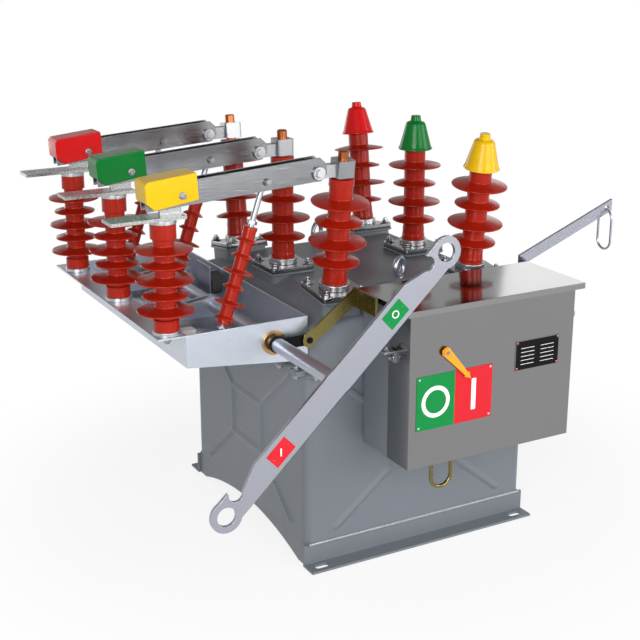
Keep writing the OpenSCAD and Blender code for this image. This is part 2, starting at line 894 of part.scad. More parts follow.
// Shedded post insulator on a metal foot ring
module post(phase) {
  ring_h = 8;
  ring_r = post_core_r + 5;
  foot_h = 28;
  head_h = 34;
  swell = 5;
  sheds = [for (i = [0:4]) [post_first + i * post_step, i % 2 == 0 ? post_large : post_small]];
  translate([post_row_x, phase * phase_pitch, tray_top]) {
    cylinder(r = ring_r + 1, h = ring_h);
    translate([0, 0, post_h - ring_h]) cylinder(r = ring_r, h = ring_h);
    insulator(post_h, post_core_r, foot_h, head_h, sheds, 6, 5, 2, swell);
  }
}

module post_front() {
  color("firebrick") post(FRONT);
}

module post_middle() {
  color("firebrick") post(MIDDLE);
}

module post_back() {
  color("firebrick") post(BACK);
}

// Terminal pads on the posts, each with the fixed contact that the blade closes on
module post_terminals() {
  contact_from = -6;
  contact_len = 40;
  contact_rise = 14;
  contact_top = pivot_z - blade_fall + contact_rise;
  pad_inner = 36;
  hole_end = 18;
  color("silver")
    for (phase = PHASES)
      translate([post_row_x, phase * phase_pitch, post_top])
        difference() {
          union() {
            translate([-pad_reach, -pad_w / 2, 0]) cube([pad_reach + pad_inner, pad_w, pad_t]);
            translate([contact_from, -contact_t / 2, 0])
              cube([contact_len, contact_t, contact_top - post_top]);
          }
          for (i = [0, 1])
            translate([-pad_reach + hole_end + i * pad_hole_pitch, 0, -cut])
              cylinder(r = pad_hole_r, h = pad_t + 2 * cut);
        }
}

// Outline of a forged crank: a hub and an eye joined by their tangents, eye towards -X
function crank_outline(hub, eye, reach, steps = 12) =
  let (lean = acos((hub - eye) / reach))
  concat(
    [for (i = [0:2 * steps]) let (t = (180 - lean) * (i / steps - 1)) [hub * cos(t), hub * sin(t)]],
    [for (i = [0:steps]) let (t = 180 + lean * (2 * i / steps - 1)) [eye * cos(t) - reach, eye * sin(t)]]);

// Forked crank of one phase: two cheeks, the hub between them and the rod's pin
module shaft_crank() {
  fork_in = rod_eye_t / 2 + face_gap;
  fork_t = 6;
  hub_r = 20;
  spacer_r = 17;
  eye_r = 11.5;
  pin_end = 2;
  sink = 1;
  rotate([0, -blade_slope, 0]) {
    for (from = [-fork_in - fork_t, fork_in])
      translate([0, from + fork_t, 0])
        rotate([90, 0, 0]) linear_extrude(fork_t) polygon(crank_outline(hub_r, eye_r, rod_arm));
    bar_y_cyl(spacer_r, -fork_in - sink, fork_in + sink);
    translate([-rod_arm, 0, 0])
      bar_y_cyl(pin_r, -fork_in - fork_t - pin_end, fork_in + fork_t + pin_end);
  }
}

// Shaft tube with a forked crank for each phase
module isolator_shaft() {
  shaft_from = lever_y + lever_t;
  shaft_over = 30;
  shaft_to = tray_back + shaft_over;
  color("silver")
    translate([shaft_x, 0, shaft_z])
      difference() {
        union() {
          bar_y_cyl(shaft_r, shaft_from, shaft_to);
          for (phase = PHASES)
            translate([0, phase * phase_pitch, 0]) shaft_crank();
        }
        bar_y_cyl(shaft_r - shaft_wall, shaft_from - cut, shaft_to + cut);
      }
}

// One arm of the hook-stick lever along +X, with an end hole and a hook notch on one edge
module lever_arm_shape(flip) {
  half = lever_w / 2;
  notch_x = lever_arm - lever_end_r - 8.5;
  notch_y = notch_r + 1.3;
  taper_x = notch_x - 56;
  waist = 7;
  hook = lever_end_r - 1;
  difference() {
    union() {
      linear_extrude(lever_t)
        polygon([for (q = [[0, -half], [lever_arm, -half], [lever_arm, hook], [notch_x + 7, hook],
                           [notch_x + 11, waist], [notch_x - 10, waist], [taper_x, half], [0, half]])
          [q[0], flip * q[1]]]);
      translate([lever_arm, 0, 0]) cylinder(r = lever_end_r, h = lever_t);
    }
    translate([lever_arm, 0, -cut]) cylinder(r = lever_hole_r, h = lever_t + 2 * cut);
    translate([notch_x, flip * notch_y, -cut]) cylinder(r = notch_r, h = lever_t + 2 * cut);
  }
}

// Flat lever with two arms, on the shaft's front end
module isolator_lever() {
  boss_r = 26;
  color("lightgray")
    translate([shaft_x, lever_y + lever_t, shaft_z])
      rotate([90, 0, 0]) {
        rotate([0, 0, lever_slope]) lever_arm_shape(1);
        rotate([0, 0, 180 + lever_slope]) lever_arm_shape(-1);
        cylinder(r = boss_r, h = lever_t);
      }
}

// Short crank clamped on the shaft, with the link's pin
module interlock_crank() {
  hub_r = 16;
  eye = 11;
  pin_over = 2;
  color("dimgray")
    translate([shaft_x, crank_y, shaft_z])
      difference() {
        union() {
          bar_y_cyl(hub_r, -crank_t / 2, crank_t / 2);
          translate([0, -crank_t / 2, -eye]) cube([crank_reach, crank_t, 2 * eye]);
          translate([crank_reach, 0, 0]) {
            bar_y_cyl(eye, -crank_t / 2, crank_t / 2);
            bar_y_cyl(pin_r, -crank_t / 2 - face_gap - link_t - pin_over, 0);
          }
        }
        bar_y_cyl(shaft_r, -crank_t, crank_t);
      }
}

// Cranked link from the crank's pin up beside the mechanism box
module interlock_link() {
  side_len = 76;
  side_over = 2;
  half_w = link_w / 2;
  eye = half_w + 1.5;
  link_face = crank_y - crank_t / 2 - face_gap - link_t;
  bend_dx = box_left - link_gap - shaft_x - crank_reach;
  rise = atan2(link_up, bend_dx);
  half_h = half_w / cos(rise);
  end_x = bend_dx - link_t / 2;
  end_z = end_x * tan(rise);
  color("darkkhaki")
    translate([shaft_x + crank_reach, link_face, shaft_z])
      difference() {
        union() {
          translate([0, link_t, 0])
            rotate([90, 0, 0])
              linear_extrude(link_t)
                polygon([[half_w * sin(rise), -half_w * cos(rise)], [end_x, end_z - half_h],
                         [end_x, end_z + half_h], [-half_w * sin(rise), half_w * cos(rise)]]);
          bar_y_cyl(eye, 0, link_t);
          translate([bend_dx - link_t, -side_len, end_z - half_h - side_over])
            cube([link_t, side_len + link_t, 2 * (half_h + side_over)]);
        }
        bar_y_cyl(pin_r + run, -cut, link_t + cut);
      }
}

// Blade: two bars joined by the pivot pin, the rod pin and the contact-end spacer
module blade(phase) {
  end_over = 18;
  chamfer = 12;
  head_r = 13;
  head_t = 4;
  spacer_r = 9;
  spacer_in = 14;
  low = blade_lift - blade_h / 2;
  high = blade_lift + blade_h / 2;
  at_blade(phase) {
    for (side = [-1, 1])
      translate([0, side * (bar_y + bar_t / 2) + bar_t / 2, 0])
        rotate([90, 0, 0])
          linear_extrude(bar_t)
            polygon([[-blade_len, low], [end_over - chamfer, low], [end_over, low + chamfer],
                     [end_over, high - chamfer], [end_over - chamfer, high], [-blade_len, high]]);
    bar_y_cyl(pivot_r, -bar_y - cut, bar_y + cut);
    for (turn = [0, 180])
      rotate([0, 0, turn]) bar_y_cyl(head_r, blade_half_w - cut, blade_half_w + head_t);
    translate([-rod_arm, 0, 0]) bar_y_cyl(pin_r, -blade_half_w - head_t, blade_half_w + head_t);
    translate([-blade_len + spacer_in, 0, blade_lift]) bar_y_cyl(spacer_r, -bar_y - cut, bar_y + cut);
  }
}

module blade_front() {
  color("silver") blade(FRONT);
}

module blade_middle() {
  color("silver") blade(MIDDLE);
}

module blade_back() {
  color("silver") blade(BACK);
}

// Moulded cover over the contact end of a blade, open underneath and towards the pivot
module blade_cover(phase) {
  nose = 14;
  brow = 6;
  heel = 6;
  from = -blade_len - hood_t;
  to = from + hood_len;
  top = blade_lift + blade_h / 2 + hood_rise;
  low = top - hood_h;
  at_blade(phase)
    difference() {
      translate([0, hood_w / 2, 0])
        rotate([90, 0, 0])
          linear_extrude(hood_w)
            polygon([[from, low + nose], [from + nose, low], [to, low + heel], [to, top],
                     [from + brow, top - hood_t], [from, top - hood_t - brow]]);
      translate([-blade_len, -blade_half_w, low - cut])
        cube([hood_len + cut, 2 * blade_half_w, hood_h - 2 * hood_t + cut]);
    }
}

module blade_cover_front() {
  color("gold") blade_cover(FRONT);
}

module blade_cover_middle() {
  color("forestgreen") blade_cover(MIDDLE);
}

module blade_cover_back() {
  color("crimson") blade_cover(BACK);
}

// Shedded pull rod from a crank pin up to a blade's rod pin
module pull_rod(phase) {
  neck_low = 50;
  neck_high = 84;
  rod_neck_r = rod_eye_t / 2 - 0.8;
  first = 14;
  last = 24;
  end_cap = 6;
  swell = 1;
  body_h = rod_span - neck_low - neck_high;
  step = (body_h - first - last) / 5;
  sheds = [for (i = [0:5]) [first + i * step, i == 1 || i == 3 ? rod_large : rod_small]];
  translate([shaft_x + rod_pin_dx, phase * phase_pitch, shaft_z + rod_pin_dz])
    rotate([0, rod_lean, 0])
      difference() {
        union() {
          translate([0, 0, neck_low]) insulator(body_h, rod_r, end_cap, end_cap, sheds, 4, 4, 1.3, swell);
          cylinder(r = rod_neck_r, h = rod_span);
          for (end = [0, rod_span])
            translate([0, 0, end]) bar_y_cyl(rod_eye_r, -rod_eye_t / 2, rod_eye_t / 2);
        }
        for (end = [0, rod_span])
          translate([0, 0, end]) bar_y_cyl(pin_r + run, -rod_eye_t, rod_eye_t);
      }
}

module pull_rod_front() {
  color("firebrick") pull_rod(FRONT);
}

module pull_rod_middle() {
  color("firebrick") pull_rod(MIDDLE);
}

module pull_rod_back() {
  color("firebrick") pull_rod(BACK);
}

// Arrow on the box's face
module indicator_pointer() {
  pointer_t = 2.5;
  stand_off = 4;
  hub_r = 7;
  root_r = 9.5;
  root_w = 18;
  neck_w = 8;
  head_w = 14;
  head_len = 13;
  hub_over = 3;
  pin_len = 20;
  color("orange")
    translate([pointer_x, box_face - stand_off, pointer_z])
      rotate([0, -pointer_slope, 0]) {
        rotate([90, 0, 0])
          linear_extrude(pointer_t)
            polygon([[0, -root_w / 2], [pointer_len - head_len, -neck_w / 2],
                     [pointer_len - head_len, -head_w / 2], [pointer_len, 0],
                     [pointer_len - head_len, head_w / 2], [pointer_len - head_len, neck_w / 2],
                     [0, root_w / 2]]);
        bar_y_cyl(root_r, -pointer_t, 0);
        bar_y_cyl(hub_r, -pointer_t - hub_over, 0);
        bar_y_cyl(pointer_pin_r, -cut, stand_off + pin_len);
      }
}

// Cranked charging handle on its shaft, with a hole at its tip for the ring
module charging_handle() {
  hub_r = 17;
  hub_t = 14;
  pin_hold = 20;
  pin_over = 4;
  bend_dy = handle_bend_y - handle_y;
  bend_rise = bend_dy * tan(handle_slope);
  reach_rise = handle_reach * tan(handle_slope);
  half = handle_h / 2;
  color("silver")
    difference() {
      union() {
        translate([0, handle_y, handle_z]) {
          bar_x_cyl(handle_pin_r, box_right - pin_hold, handle_x + handle_t + pin_over);
          bar_x_cyl(hub_r, handle_x - hub_t + handle_t, handle_x + handle_t);
        }
        translate([handle_x, handle_y, handle_z])
          rotate([90, 0, 90])
            linear_extrude(handle_t)
              polygon([[0, -half], [bend_dy, bend_rise - half], [bend_dy, bend_rise + half], [0, half]]);
        translate([handle_x, handle_bend_y, handle_z + bend_rise])
          rotate([90, 0, 0])
            linear_extrude(handle_t)
              polygon([[0, -half], [handle_reach, reach_rise - half],
                       [handle_reach, reach_rise + half], [0, half]]);
      }
      translate([tip_x, 0, tip_z])
        bar_y_cyl(tip_hole_r, handle_bend_y - handle_t - cut, handle_bend_y + cut);
    }
}

// Long wire ring that hangs through the handle's tip hole
module handle_ring() {
  wire_z = tip_z - tip_hole_r + ring_wire + face_gap;
  color("silver")
    translate([tip_x, handle_bend_y - handle_t / 2, wire_z - ring_r])
      rotate([0, 0, 90]) {
        for (sx = [-1, 1])
          translate([sx * ring_r, 0, -ring_len]) cylinder(r = ring_wire, h = ring_len);
        rotate([90, 0, 0]) rotate_extrude(angle = 180) translate([ring_r, 0]) circle(r = ring_wire);
        translate([0, 0, -ring_len])
          rotate([-90, 0, 0]) rotate_extrude(angle = 180) translate([ring_r, 0]) circle(r = ring_wire);
      }
}

// Pull bow under the box, whose legs slide in the cover
module trip_ring() {
  leg_len = trip_drop + trip_travel + trip_hold;
  color("darkgoldenrod")
    translate([trip_x, trip_y, box_bottom - trip_drop]) {
      for (leg = [-trip_r, trip_r])
        translate([leg, 0, 0]) cylinder(r = trip_wire, h = leg_len);
      rotate([-90, 0, 0])
        rotate_extrude(angle = 180) translate([trip_r, 0]) circle(r = trip_wire);
    }
}

base_rail_front();
base_rail_back();
base_skirts();
tank_body();
tank_cover();
left_flange_plates();
right_flange_plates();
lifting_eyes();
mechanism_frame();
mechanism_cover();
mechanism_lid();
left_bushing_front();
left_bushing_middle();
left_bushing_back();
right_bushing_front();
right_bushing_middle();
right_bushing_back();
phase_cap_front();
phase_cap_middle();
phase_cap_back();
copper_studs();
terminal_clamps();
isolator_tray();
shaft_collars();
stop_brackets();
post_front();
post_middle();
post_back();
post_terminals();
isolator_shaft();
isolator_lever();
interlock_crank();
interlock_link();
blade_front();
blade_middle();
blade_back();
blade_cover_front();
blade_cover_middle();
blade_cover_back();
pull_rod_front();
pull_rod_middle();
pull_rod_back();
indicator_pointer();
charging_handle();
handle_ring();
trip_ring();
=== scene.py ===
"""Looks of an outdoor vacuum circuit breaker with a three-pole isolator.

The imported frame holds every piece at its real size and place, in metres. This script
gives each one its finish, models the shedded insulators, pressed tank walls, fasteners,
plates and seams that the frame leaves plain, and sets up the studio.
"""

import json
import logging
import math
from dataclasses import dataclass, field
from enum import Enum
from typing import Any, Iterable, Optional, Sequence

import bmesh
import bpy
from mathutils import Matrix, Vector


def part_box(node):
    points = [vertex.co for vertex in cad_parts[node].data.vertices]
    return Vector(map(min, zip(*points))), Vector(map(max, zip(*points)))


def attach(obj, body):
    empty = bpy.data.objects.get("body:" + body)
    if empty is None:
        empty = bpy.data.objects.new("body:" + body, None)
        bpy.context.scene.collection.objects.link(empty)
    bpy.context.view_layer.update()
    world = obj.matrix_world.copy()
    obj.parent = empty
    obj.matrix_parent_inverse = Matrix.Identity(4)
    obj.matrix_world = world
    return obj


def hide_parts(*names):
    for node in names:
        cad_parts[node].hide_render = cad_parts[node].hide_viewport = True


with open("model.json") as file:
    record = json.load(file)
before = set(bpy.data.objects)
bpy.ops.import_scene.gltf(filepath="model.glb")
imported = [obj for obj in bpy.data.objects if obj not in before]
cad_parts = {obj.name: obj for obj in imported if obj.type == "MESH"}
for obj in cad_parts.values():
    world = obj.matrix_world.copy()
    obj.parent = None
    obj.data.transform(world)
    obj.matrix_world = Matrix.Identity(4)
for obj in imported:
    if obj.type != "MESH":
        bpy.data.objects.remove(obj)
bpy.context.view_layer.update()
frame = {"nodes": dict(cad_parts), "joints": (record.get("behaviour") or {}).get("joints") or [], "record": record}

LOG = logging.getLogger("breaker")
MM = 0.001
TINY = 1e-6
SHARP = math.radians(40.0)
UP = Vector((0.0, 0.0, 1.0))
FRONT_SIDE = Vector((0.0, -1.0, 0.0))
LEFT_SIDE = Vector((-1.0, 0.0, 0.0))
RIGHT_SIDE = Vector((1.0, 0.0, 0.0))
BACK_SIDE = Vector((0.0, 1.0, 0.0))
ROOT = "breaker"

Point2 = tuple[float, float]
Mesh = bmesh.types.BMesh
Tree = bpy.types.NodeTree
Socket = bpy.types.NodeSocket


class Phase(Enum):
    """One of the three phases, counted from the front."""

    FRONT = -1
    MIDDLE = 0
    BACK = 1

    @property
    def tag(self) -> str:
        """Ending of this phase's node names."""
        return self.name.lower()


class Colour(Enum):
    """sRGB colours of the finishes."""

    ENAMEL_GREY = "#71767d"
    STAINLESS = "#949494"
    MIRROR_STEEL = "#a2a2a2"
    GALVANISED = "#d0d6e0"
    ZINC = "#b0b3bd"
    BOLT_ZINC = "#a3a5a8"
    TINNED = "#8e8f92"
    PAD_TIN = "#a9aaa9"
    YELLOW_ZINC = "#857a4c"
    SILICONE = "#a01e0c"
    COPPER = "#b4693f"
    BRASS = "#c0996c"
    CAST_ALUMINIUM = "#a3a4a8"
    TURNED_ALUMINIUM = "#c0c1c4"
    # lighter than the enamel: a painted glint on the weld beads
    WELD = "#a4a8ad"
    PLATE_STEEL = "#9b9b9d"
    YELLOW = "#dcb00a"
    GREEN = "#06702a"
    RED = "#cc1518"
    BLACK = "#0b0b0c"
    ORANGE = "#f29a12"
    SIGN_GREEN = "#04803c"
    SIGN_RED = "#cc1f2a"
    SIGN_WHITE = "#f4f4f2"
    FLOOR = "#f6f6f6"


def linear(hex_colour: str) -> tuple[float, float, float, float]:
    """Turn an sRGB hex colour into linear RGBA.

    Args:
        hex_colour: a colour such as "#7d838b".

    Returns:
        Linear red, green, blue and an alpha of 1.
    """
    parts = [int(hex_colour[i:i + 2], 16) / 255 for i in (1, 3, 5)]
    bent = [c / 12.92 if c <= 0.04045 else ((c + 0.055) / 1.055) ** 2.4 for c in parts]
    return (bent[0], bent[1], bent[2], 1.0)


def shade(colour: tuple[float, ...], factor: float) -> tuple[float, float, float, float]:
    """A linear colour made lighter or darker by a factor."""
    return (colour[0] * factor, colour[1] * factor, colour[2] * factor, 1.0)


def add_node(tree: Tree, kind: str, inputs: dict[Any, Any], **settings: Any) -> bpy.types.Node:
    """Add a node, set its properties and fill or link its inputs.

    Args:
        tree: the node tree that takes the node.
        kind: the node's type name.
        inputs: socket name or number to a value, or to the output socket that feeds it.
        **settings: properties of the node itself.

    Returns:
        The new node.
    """
    node = tree.nodes.new(kind)
    for key, value in settings.items():
        setattr(node, key, value)
    for key, value in inputs.items():
        if isinstance(value, Socket):
            tree.links.new(value, node.inputs[key])
        else:
            node.inputs[key].default_value = value
    return node


def cleared(owner: Any) -> Tree:
    """Empty the node tree of a material or a world.

    Args:
        owner: the material or world.

    Returns:
        Its node tree, with no node in it.
    """
    owner.use_nodes = True
    owner.node_tree.nodes.clear()
    return owner.node_tree


@dataclass(frozen=True)
class Finish:
    """A surface finish with a tone that drifts and a fine relief.

    drift_mm is the size of the patches in which the tone drifts, and grain_mm the size of
    the relief's bumps, with which the gloss drifts. stretch gives how much longer the grain
    is along X, Y, Z. Drift and gloss_drift are shares to either side of the plain value.
    """

    name: str
    colour: Colour
    roughness: float
    metallic: float = 0.0
    drift_mm: float = 60.0
    drift: float = 0.06
    gloss_drift: float = 0.08
    grain_mm: float = 2.0
    relief_mm: float = 0.05
    stretch: tuple[float, float, float] = (1.0, 1.0, 1.0)
    specular: float = 0.5

    def material(self) -> bpy.types.Material:
        """Make this finish's material, or find it again.

        Returns:
            The material of that name.
        """
        known = bpy.data.materials.get(self.name)
        if known:
            return known
        made = bpy.data.materials.new(self.name)
        tree = cleared(made)
        shader = add_node(tree, "ShaderNodeBsdfPrincipled", {
            "Metallic": self.metallic, "Specular IOR Level": self.specular})
        place = add_node(tree, "ShaderNodeTexCoord", {}).outputs["Object"]
        self.surface(tree, shader, place)
        add_node(tree, "ShaderNodeOutputMaterial", {"Surface": shader.outputs["BSDF"]})
        return made

    def tone(self, tree: Tree, place: Socket) -> Socket:
        """Colour that drifts from patch to patch.

        Args:
            tree: the material's nodes.
            place: the coordinates that the patches lie on.

        Returns:
            The colour socket.
        """
        base = linear(self.colour.value)
        return add_node(tree, "ShaderNodeMix", {
            "Factor": self.patches(tree, place), "A": shade(base, 1 - self.drift),
            "B": shade(base, 1 + self.drift)}, data_type="RGBA").outputs["Result"]

    def patches(self, tree: Tree, place: Socket) -> Socket:
        """Soft clouds in which the tone drifts."""
        return add_node(tree, "ShaderNodeTexNoise", {
            "Vector": place, "Scale": 1 / (self.drift_mm * MM), "Detail": 4.0,
            "Roughness": 0.6}).outputs["Fac"]

    def grain(self, tree: Tree, place: Socket) -> Socket:
        """Fine noise of the surface's relief.

        Args:
            tree: the material's nodes.
            place: the coordinates that the grain lies on.

        Returns:
            The noise's height socket.
        """
        scale = tuple(1 / (self.grain_mm * MM * s) for s in self.stretch)
        drawn_out = add_node(tree, "ShaderNodeMapping", {"Vector": place, "Scale": scale})
        return add_node(tree, "ShaderNodeTexNoise", {
            "Vector": drawn_out.outputs["Vector"], "Scale": 1.0, "Detail": 3.0}).outputs["Fac"]

    def surface(self, tree: Tree, shader: bpy.types.Node, place: Socket) -> None:
        """Link colour, roughness and relief to the shader.

        Args:
            tree: the material's nodes.
            shader: the surface shader.
            place: the piece's own coordinates.
        """
        tree.links.new(self.tone(tree, place), shader.inputs["Base Color"])
        height = self.grain(tree, place)
        gloss = add_node(tree, "ShaderNodeMapRange", {
            "Value": height, "From Min": 0.3, "From Max": 0.7,
            "To Min": max(self.roughness - self.gloss_drift, 0.03),
            "To Max": self.roughness + self.gloss_drift})
        tree.links.new(gloss.outputs["Result"], shader.inputs["Roughness"])
        bump = add_node(tree, "ShaderNodeBump", {
            "Height": height, "Strength": 0.5, "Distance": self.relief_mm * MM})
        tree.links.new(bump.outputs["Normal"], shader.inputs["Normal"])


@dataclass(frozen=True)
class Spangled(Finish):
    """Hot-dip galvanised sheet, whose zinc crystals show as flat facets of slightly different grey."""

    spangle_mm: float = 9.0

    def patches(self, tree: Tree, place: Socket) -> Socket:
        """Flat crystals, from each of which the tone steps to the next."""
        return add_node(tree, "ShaderNodeTexVoronoi", {
            "Vector": place, "Scale": 1 / (self.spangle_mm * MM), "Randomness": 1.0}).outputs["Color"]


# Stove enamel on sheet steel: even, half glossy, with faint orange peel
GREY_ENAMEL = Finish("grey_stove_enamel", Colour.ENAMEL_GREY, 0.36, drift_mm=120, drift=0.05,
                     grain_mm=3.0, relief_mm=0.06, specular=0.35)
# Weld beads under thin enamel, half metallic: their lighter tone, in small bright spots, is a painted glint
WELD = Finish("thinly_painted_weld", Colour.WELD, 0.34, metallic=0.5, drift_mm=7, drift=0.45,
              grain_mm=2.0, relief_mm=0.2)
# Cold-rolled stainless sheet: a fine level grain that smears reflections along it
STAINLESS = Finish("stainless_sheet", Colour.STAINLESS, 0.2, metallic=1.0, drift_mm=200, drift=0.03,
                   gloss_drift=0.015, grain_mm=1.2, relief_mm=0.002, stretch=(60, 60, 1))
# Polished stainless sheet: a soft mirror, drawn out along its rolling
MIRROR = Finish("polished_stainless_sheet", Colour.MIRROR_STEEL, 0.1, metallic=1.0, drift_mm=150,
                drift=0.04, gloss_drift=0.03, grain_mm=2.0, relief_mm=0.01, stretch=(30, 1, 1))
# Hot-dip galvanised sheet: pale blue-grey, with flat crystals of slightly different tone
GALVANISED = Spangled("galvanised_sheet", Colour.GALVANISED, 0.36, metallic=0.85, drift=0.025,
                      grain_mm=4.0, relief_mm=0.02)
# New bolts: bright, almost mirroring zinc
BOLT_ZINC = Finish("bright_bolt_zinc", Colour.BOLT_ZINC, 0.2, metallic=1.0, drift_mm=12, drift=0.1,
                   grain_mm=1.5, relief_mm=0.02)
# Bright zinc plating on rolled bar: pale and satin
ZINC = Finish("bright_zinc_plate", Colour.ZINC, 0.32, metallic=0.9, drift_mm=60, drift=0.04,
              gloss_drift=0.04, grain_mm=4.0, relief_mm=0.01)
# Tinned copper bar: grey, with streaks along its drawing
TINNED = Finish("tinned_copper_bar", Colour.TINNED, 0.22, metallic=1.0, drift_mm=40, drift=0.08,
                gloss_drift=0.06, grain_mm=2.0, relief_mm=0.006, stretch=(20, 1, 1))
# Hot-tinned terminal pads: pale, with dull spots where the tin has run
PAD_TIN = Finish("hot_tinned_pad", Colour.PAD_TIN, 0.3, metallic=0.9, drift_mm=12, drift=0.16,
                 grain_mm=3.0, relief_mm=0.03)
# Yellow passivated zinc: brownish gold in uneven clouds
YELLOW_ZINC = Finish("yellow_passivated_zinc", Colour.YELLOW_ZINC, 0.26, metallic=1.0, drift_mm=18,
                     drift=0.18, grain_mm=3.0, relief_mm=0.01)
# Moulded silicone rubber: a soft satin red with a trace of bloom
SILICONE = Finish("red_silicone_rubber", Colour.SILICONE, 0.22, drift_mm=45, drift=0.05,
                  gloss_drift=0.03, grain_mm=6, relief_mm=0.01, specular=0.24)
# Bare copper: red-brown, with patches of tarnish
COPPER = Finish("bare_copper", Colour.COPPER, 0.34, metallic=1.0, drift_mm=14, drift=0.2,
                grain_mm=1.2, relief_mm=0.03)
# Turned brass: warm and satin from the tool
BRASS = Finish("turned_brass", Colour.BRASS, 0.3, metallic=1.0, drift_mm=16, drift=0.12,
               grain_mm=1.0, relief_mm=0.02)
# Sawn aluminium blocks, with the saw's upright lines
CASTING = Finish("sawn_aluminium", Colour.CAST_ALUMINIUM, 0.34, metallic=1.0, drift_mm=20, drift=0.1,
                 grain_mm=1.2, relief_mm=0.06, stretch=(1, 1, 16))
# Ground clamping plates, which mirror the grey tank and the red rubber
PLATE_STEEL = Finish("ground_plate_steel", Colour.PLATE_STEEL, 0.2, metallic=1.0, drift_mm=40,
                     drift=0.05, gloss_drift=0.04, grain_mm=1.5, relief_mm=0.008)
# Turned aluminium rings, bright from the lathe
BRIGHT_ALUMINIUM = Finish("turned_aluminium", Colour.TURNED_ALUMINIUM, 0.36, metallic=1.0, drift_mm=20,
                          drift=0.05, gloss_drift=0.04, grain_mm=2, relief_mm=0.004)
# Injection-moulded plastic: clean saturated colour with a slight sink ripple
YELLOW, GREEN, RED = (
    Finish(f"{colour.name.lower()}_moulding", colour, 0.2, drift_mm=80, drift=0.02, grain_mm=20,
           relief_mm=0.01, specular=0.22) for colour in (Colour.YELLOW, Colour.GREEN, Colour.RED))
# Moulded rubber: matt black with a fine tooth
BLACK_RUBBER = Finish("black_rubber", Colour.BLACK, 0.55, drift_mm=20, drift=0.15, grain_mm=1.0,
                      relief_mm=0.06)
# Brushed black enamel: deep, with little gloss
BLACK_ENAMEL = Finish("black_enamel", Colour.BLACK, 0.4, drift_mm=40, drift=0.1, grain_mm=4,
                      relief_mm=0.01, specular=0.12)
# Orange enamel on cast metal: warm, with a faint skin
ORANGE = Finish("orange_enamel", Colour.ORANGE, 0.32, drift_mm=20, drift=0.05, grain_mm=2, relief_mm=0.03)
# Screen-printed sign enamel: flat and even
SIGN_GREEN, SIGN_RED = (
    Finish(f"{tint}_sign_enamel", colour, 0.4, drift_mm=60, drift=0.02, grain_mm=6, relief_mm=0.005,
           specular=0.2) for tint, colour in (("green", Colour.SIGN_GREEN), ("red", Colour.SIGN_RED)))
# White printing ink: opaque, with a trace of gloss
SIGN_WHITE = Finish("white_sign_enamel", Colour.SIGN_WHITE, 0.36, drift_mm=60, drift=0.02, grain_mm=3,
                    relief_mm=0.01)
# Cast nylon: milky white and dull
NYLON = Finish("white_nylon", Colour.SIGN_WHITE, 0.45, drift_mm=30, drift=0.05, grain_mm=2, relief_mm=0.03)
PHASE_FINISH = {Phase.FRONT: YELLOW, Phase.MIDDLE: GREEN, Phase.BACK: RED}


def facing(point: Sequence[float], normal: Vector, turn: float = 0.0) -> Matrix:
    """Place whose Z axis runs along a direction.

    Args:
        point: origin of the place.
        normal: direction of its Z axis.
        turn: turn about that axis, in degrees.

    Returns:
        The 4x4 matrix of the place.
    """
    if abs(normal.normalized().z) > 0.999:
        rotation = Matrix.Identity(4) if normal.z > 0 else Matrix.Rotation(math.pi, 4, "X")
    else:
        side = UP.cross(normal).normalized()
        rise = normal.cross(side).normalized()
        rotation = Matrix((side, rise, normal.normalized())).transposed().to_4x4()
    return Matrix.Translation(point) @ rotation @ Matrix.Rotation(math.radians(turn), 4, "Z")


def raised(height: float) -> Matrix:
    """Place at a height above the origin."""
    return Matrix.Translation((0, 0, height))


def arc(centre: Point2, radius: float, start: float, end: float, steps: int) -> list[Point2]:
    """Points along a circular arc in a number of steps, from one angle in degrees to another."""
    angles = [math.radians(start + (end - start) * i / steps) for i in range(steps + 1)]
    return [(centre[0] + radius * math.cos(a), centre[1] + radius * math.sin(a)) for a in angles]


def curve(start: Point2, pull: Point2, end: Point2, steps: int) -> list[Point2]:
    """Points along a quadratic curve.

    Args:
        start: the first point.
        pull: the point that the curve bends towards.
        end: the last point.
        steps: number of stretches.

    Returns:
        The points from start to end.
    """
    points = []
    for i in range(steps + 1):
        t = i / steps
        a, b, c = (1 - t) ** 2, 2 * t * (1 - t), t * t
        points.append((a * start[0] + b * pull[0] + c * end[0], a * start[1] + b * pull[1] + c * end[1]))
    return points


def rounded_outline(width: float, height: float, radius: float, steps: int = 5) -> list[Point2]:
    """Outline of a rectangle with round corners, centred on the origin.

    Args:
        width: full width.
        height: full height.
        radius: radius of the corners.
        steps: stretches in each corner.

    Returns:
        The outline's points, counter-clockwise.
    """
    x, y = width / 2 - radius, height / 2 - radius
    corners = ((x, y, 0), (-x, y, 90), (-x, -y, 180), (x, -y, 270))
    return [p for cx, cy, start in corners for p in arc((cx, cy), radius, start, start + 90, steps)]


def only(kind: type, geom: Iterable[Any]) -> list[Any]:
    """The vertices, edges or faces among mixed geometry."""
    return [g for g in geom if isinstance(g, kind)]


def turned(profile: Sequence[Point2], steps: int = 72) -> Mesh:
    """Spin an outline round the Z axis.

    Args:
        profile: radius and height of each point, in order.
        steps: stretches in the full turn.

    Returns:
        A bmesh of the turned skin.
    """
    bm = bmesh.new()
    verts = [bm.verts.new((r, 0.0, z)) for r, z in profile]
    edges = [bm.edges.new(pair) for pair in zip(verts, verts[1:])]
    bmesh.ops.spin(bm, geom=verts + edges, cent=(0, 0, 0), axis=UP, angle=math.tau, steps=steps,
                   use_merge=True, dvec=(0, 0, 0))
    bmesh.ops.remove_doubles(bm, verts=bm.verts, dist=TINY)
    bmesh.ops.recalc_face_normals(bm, faces=bm.faces)
    return bm


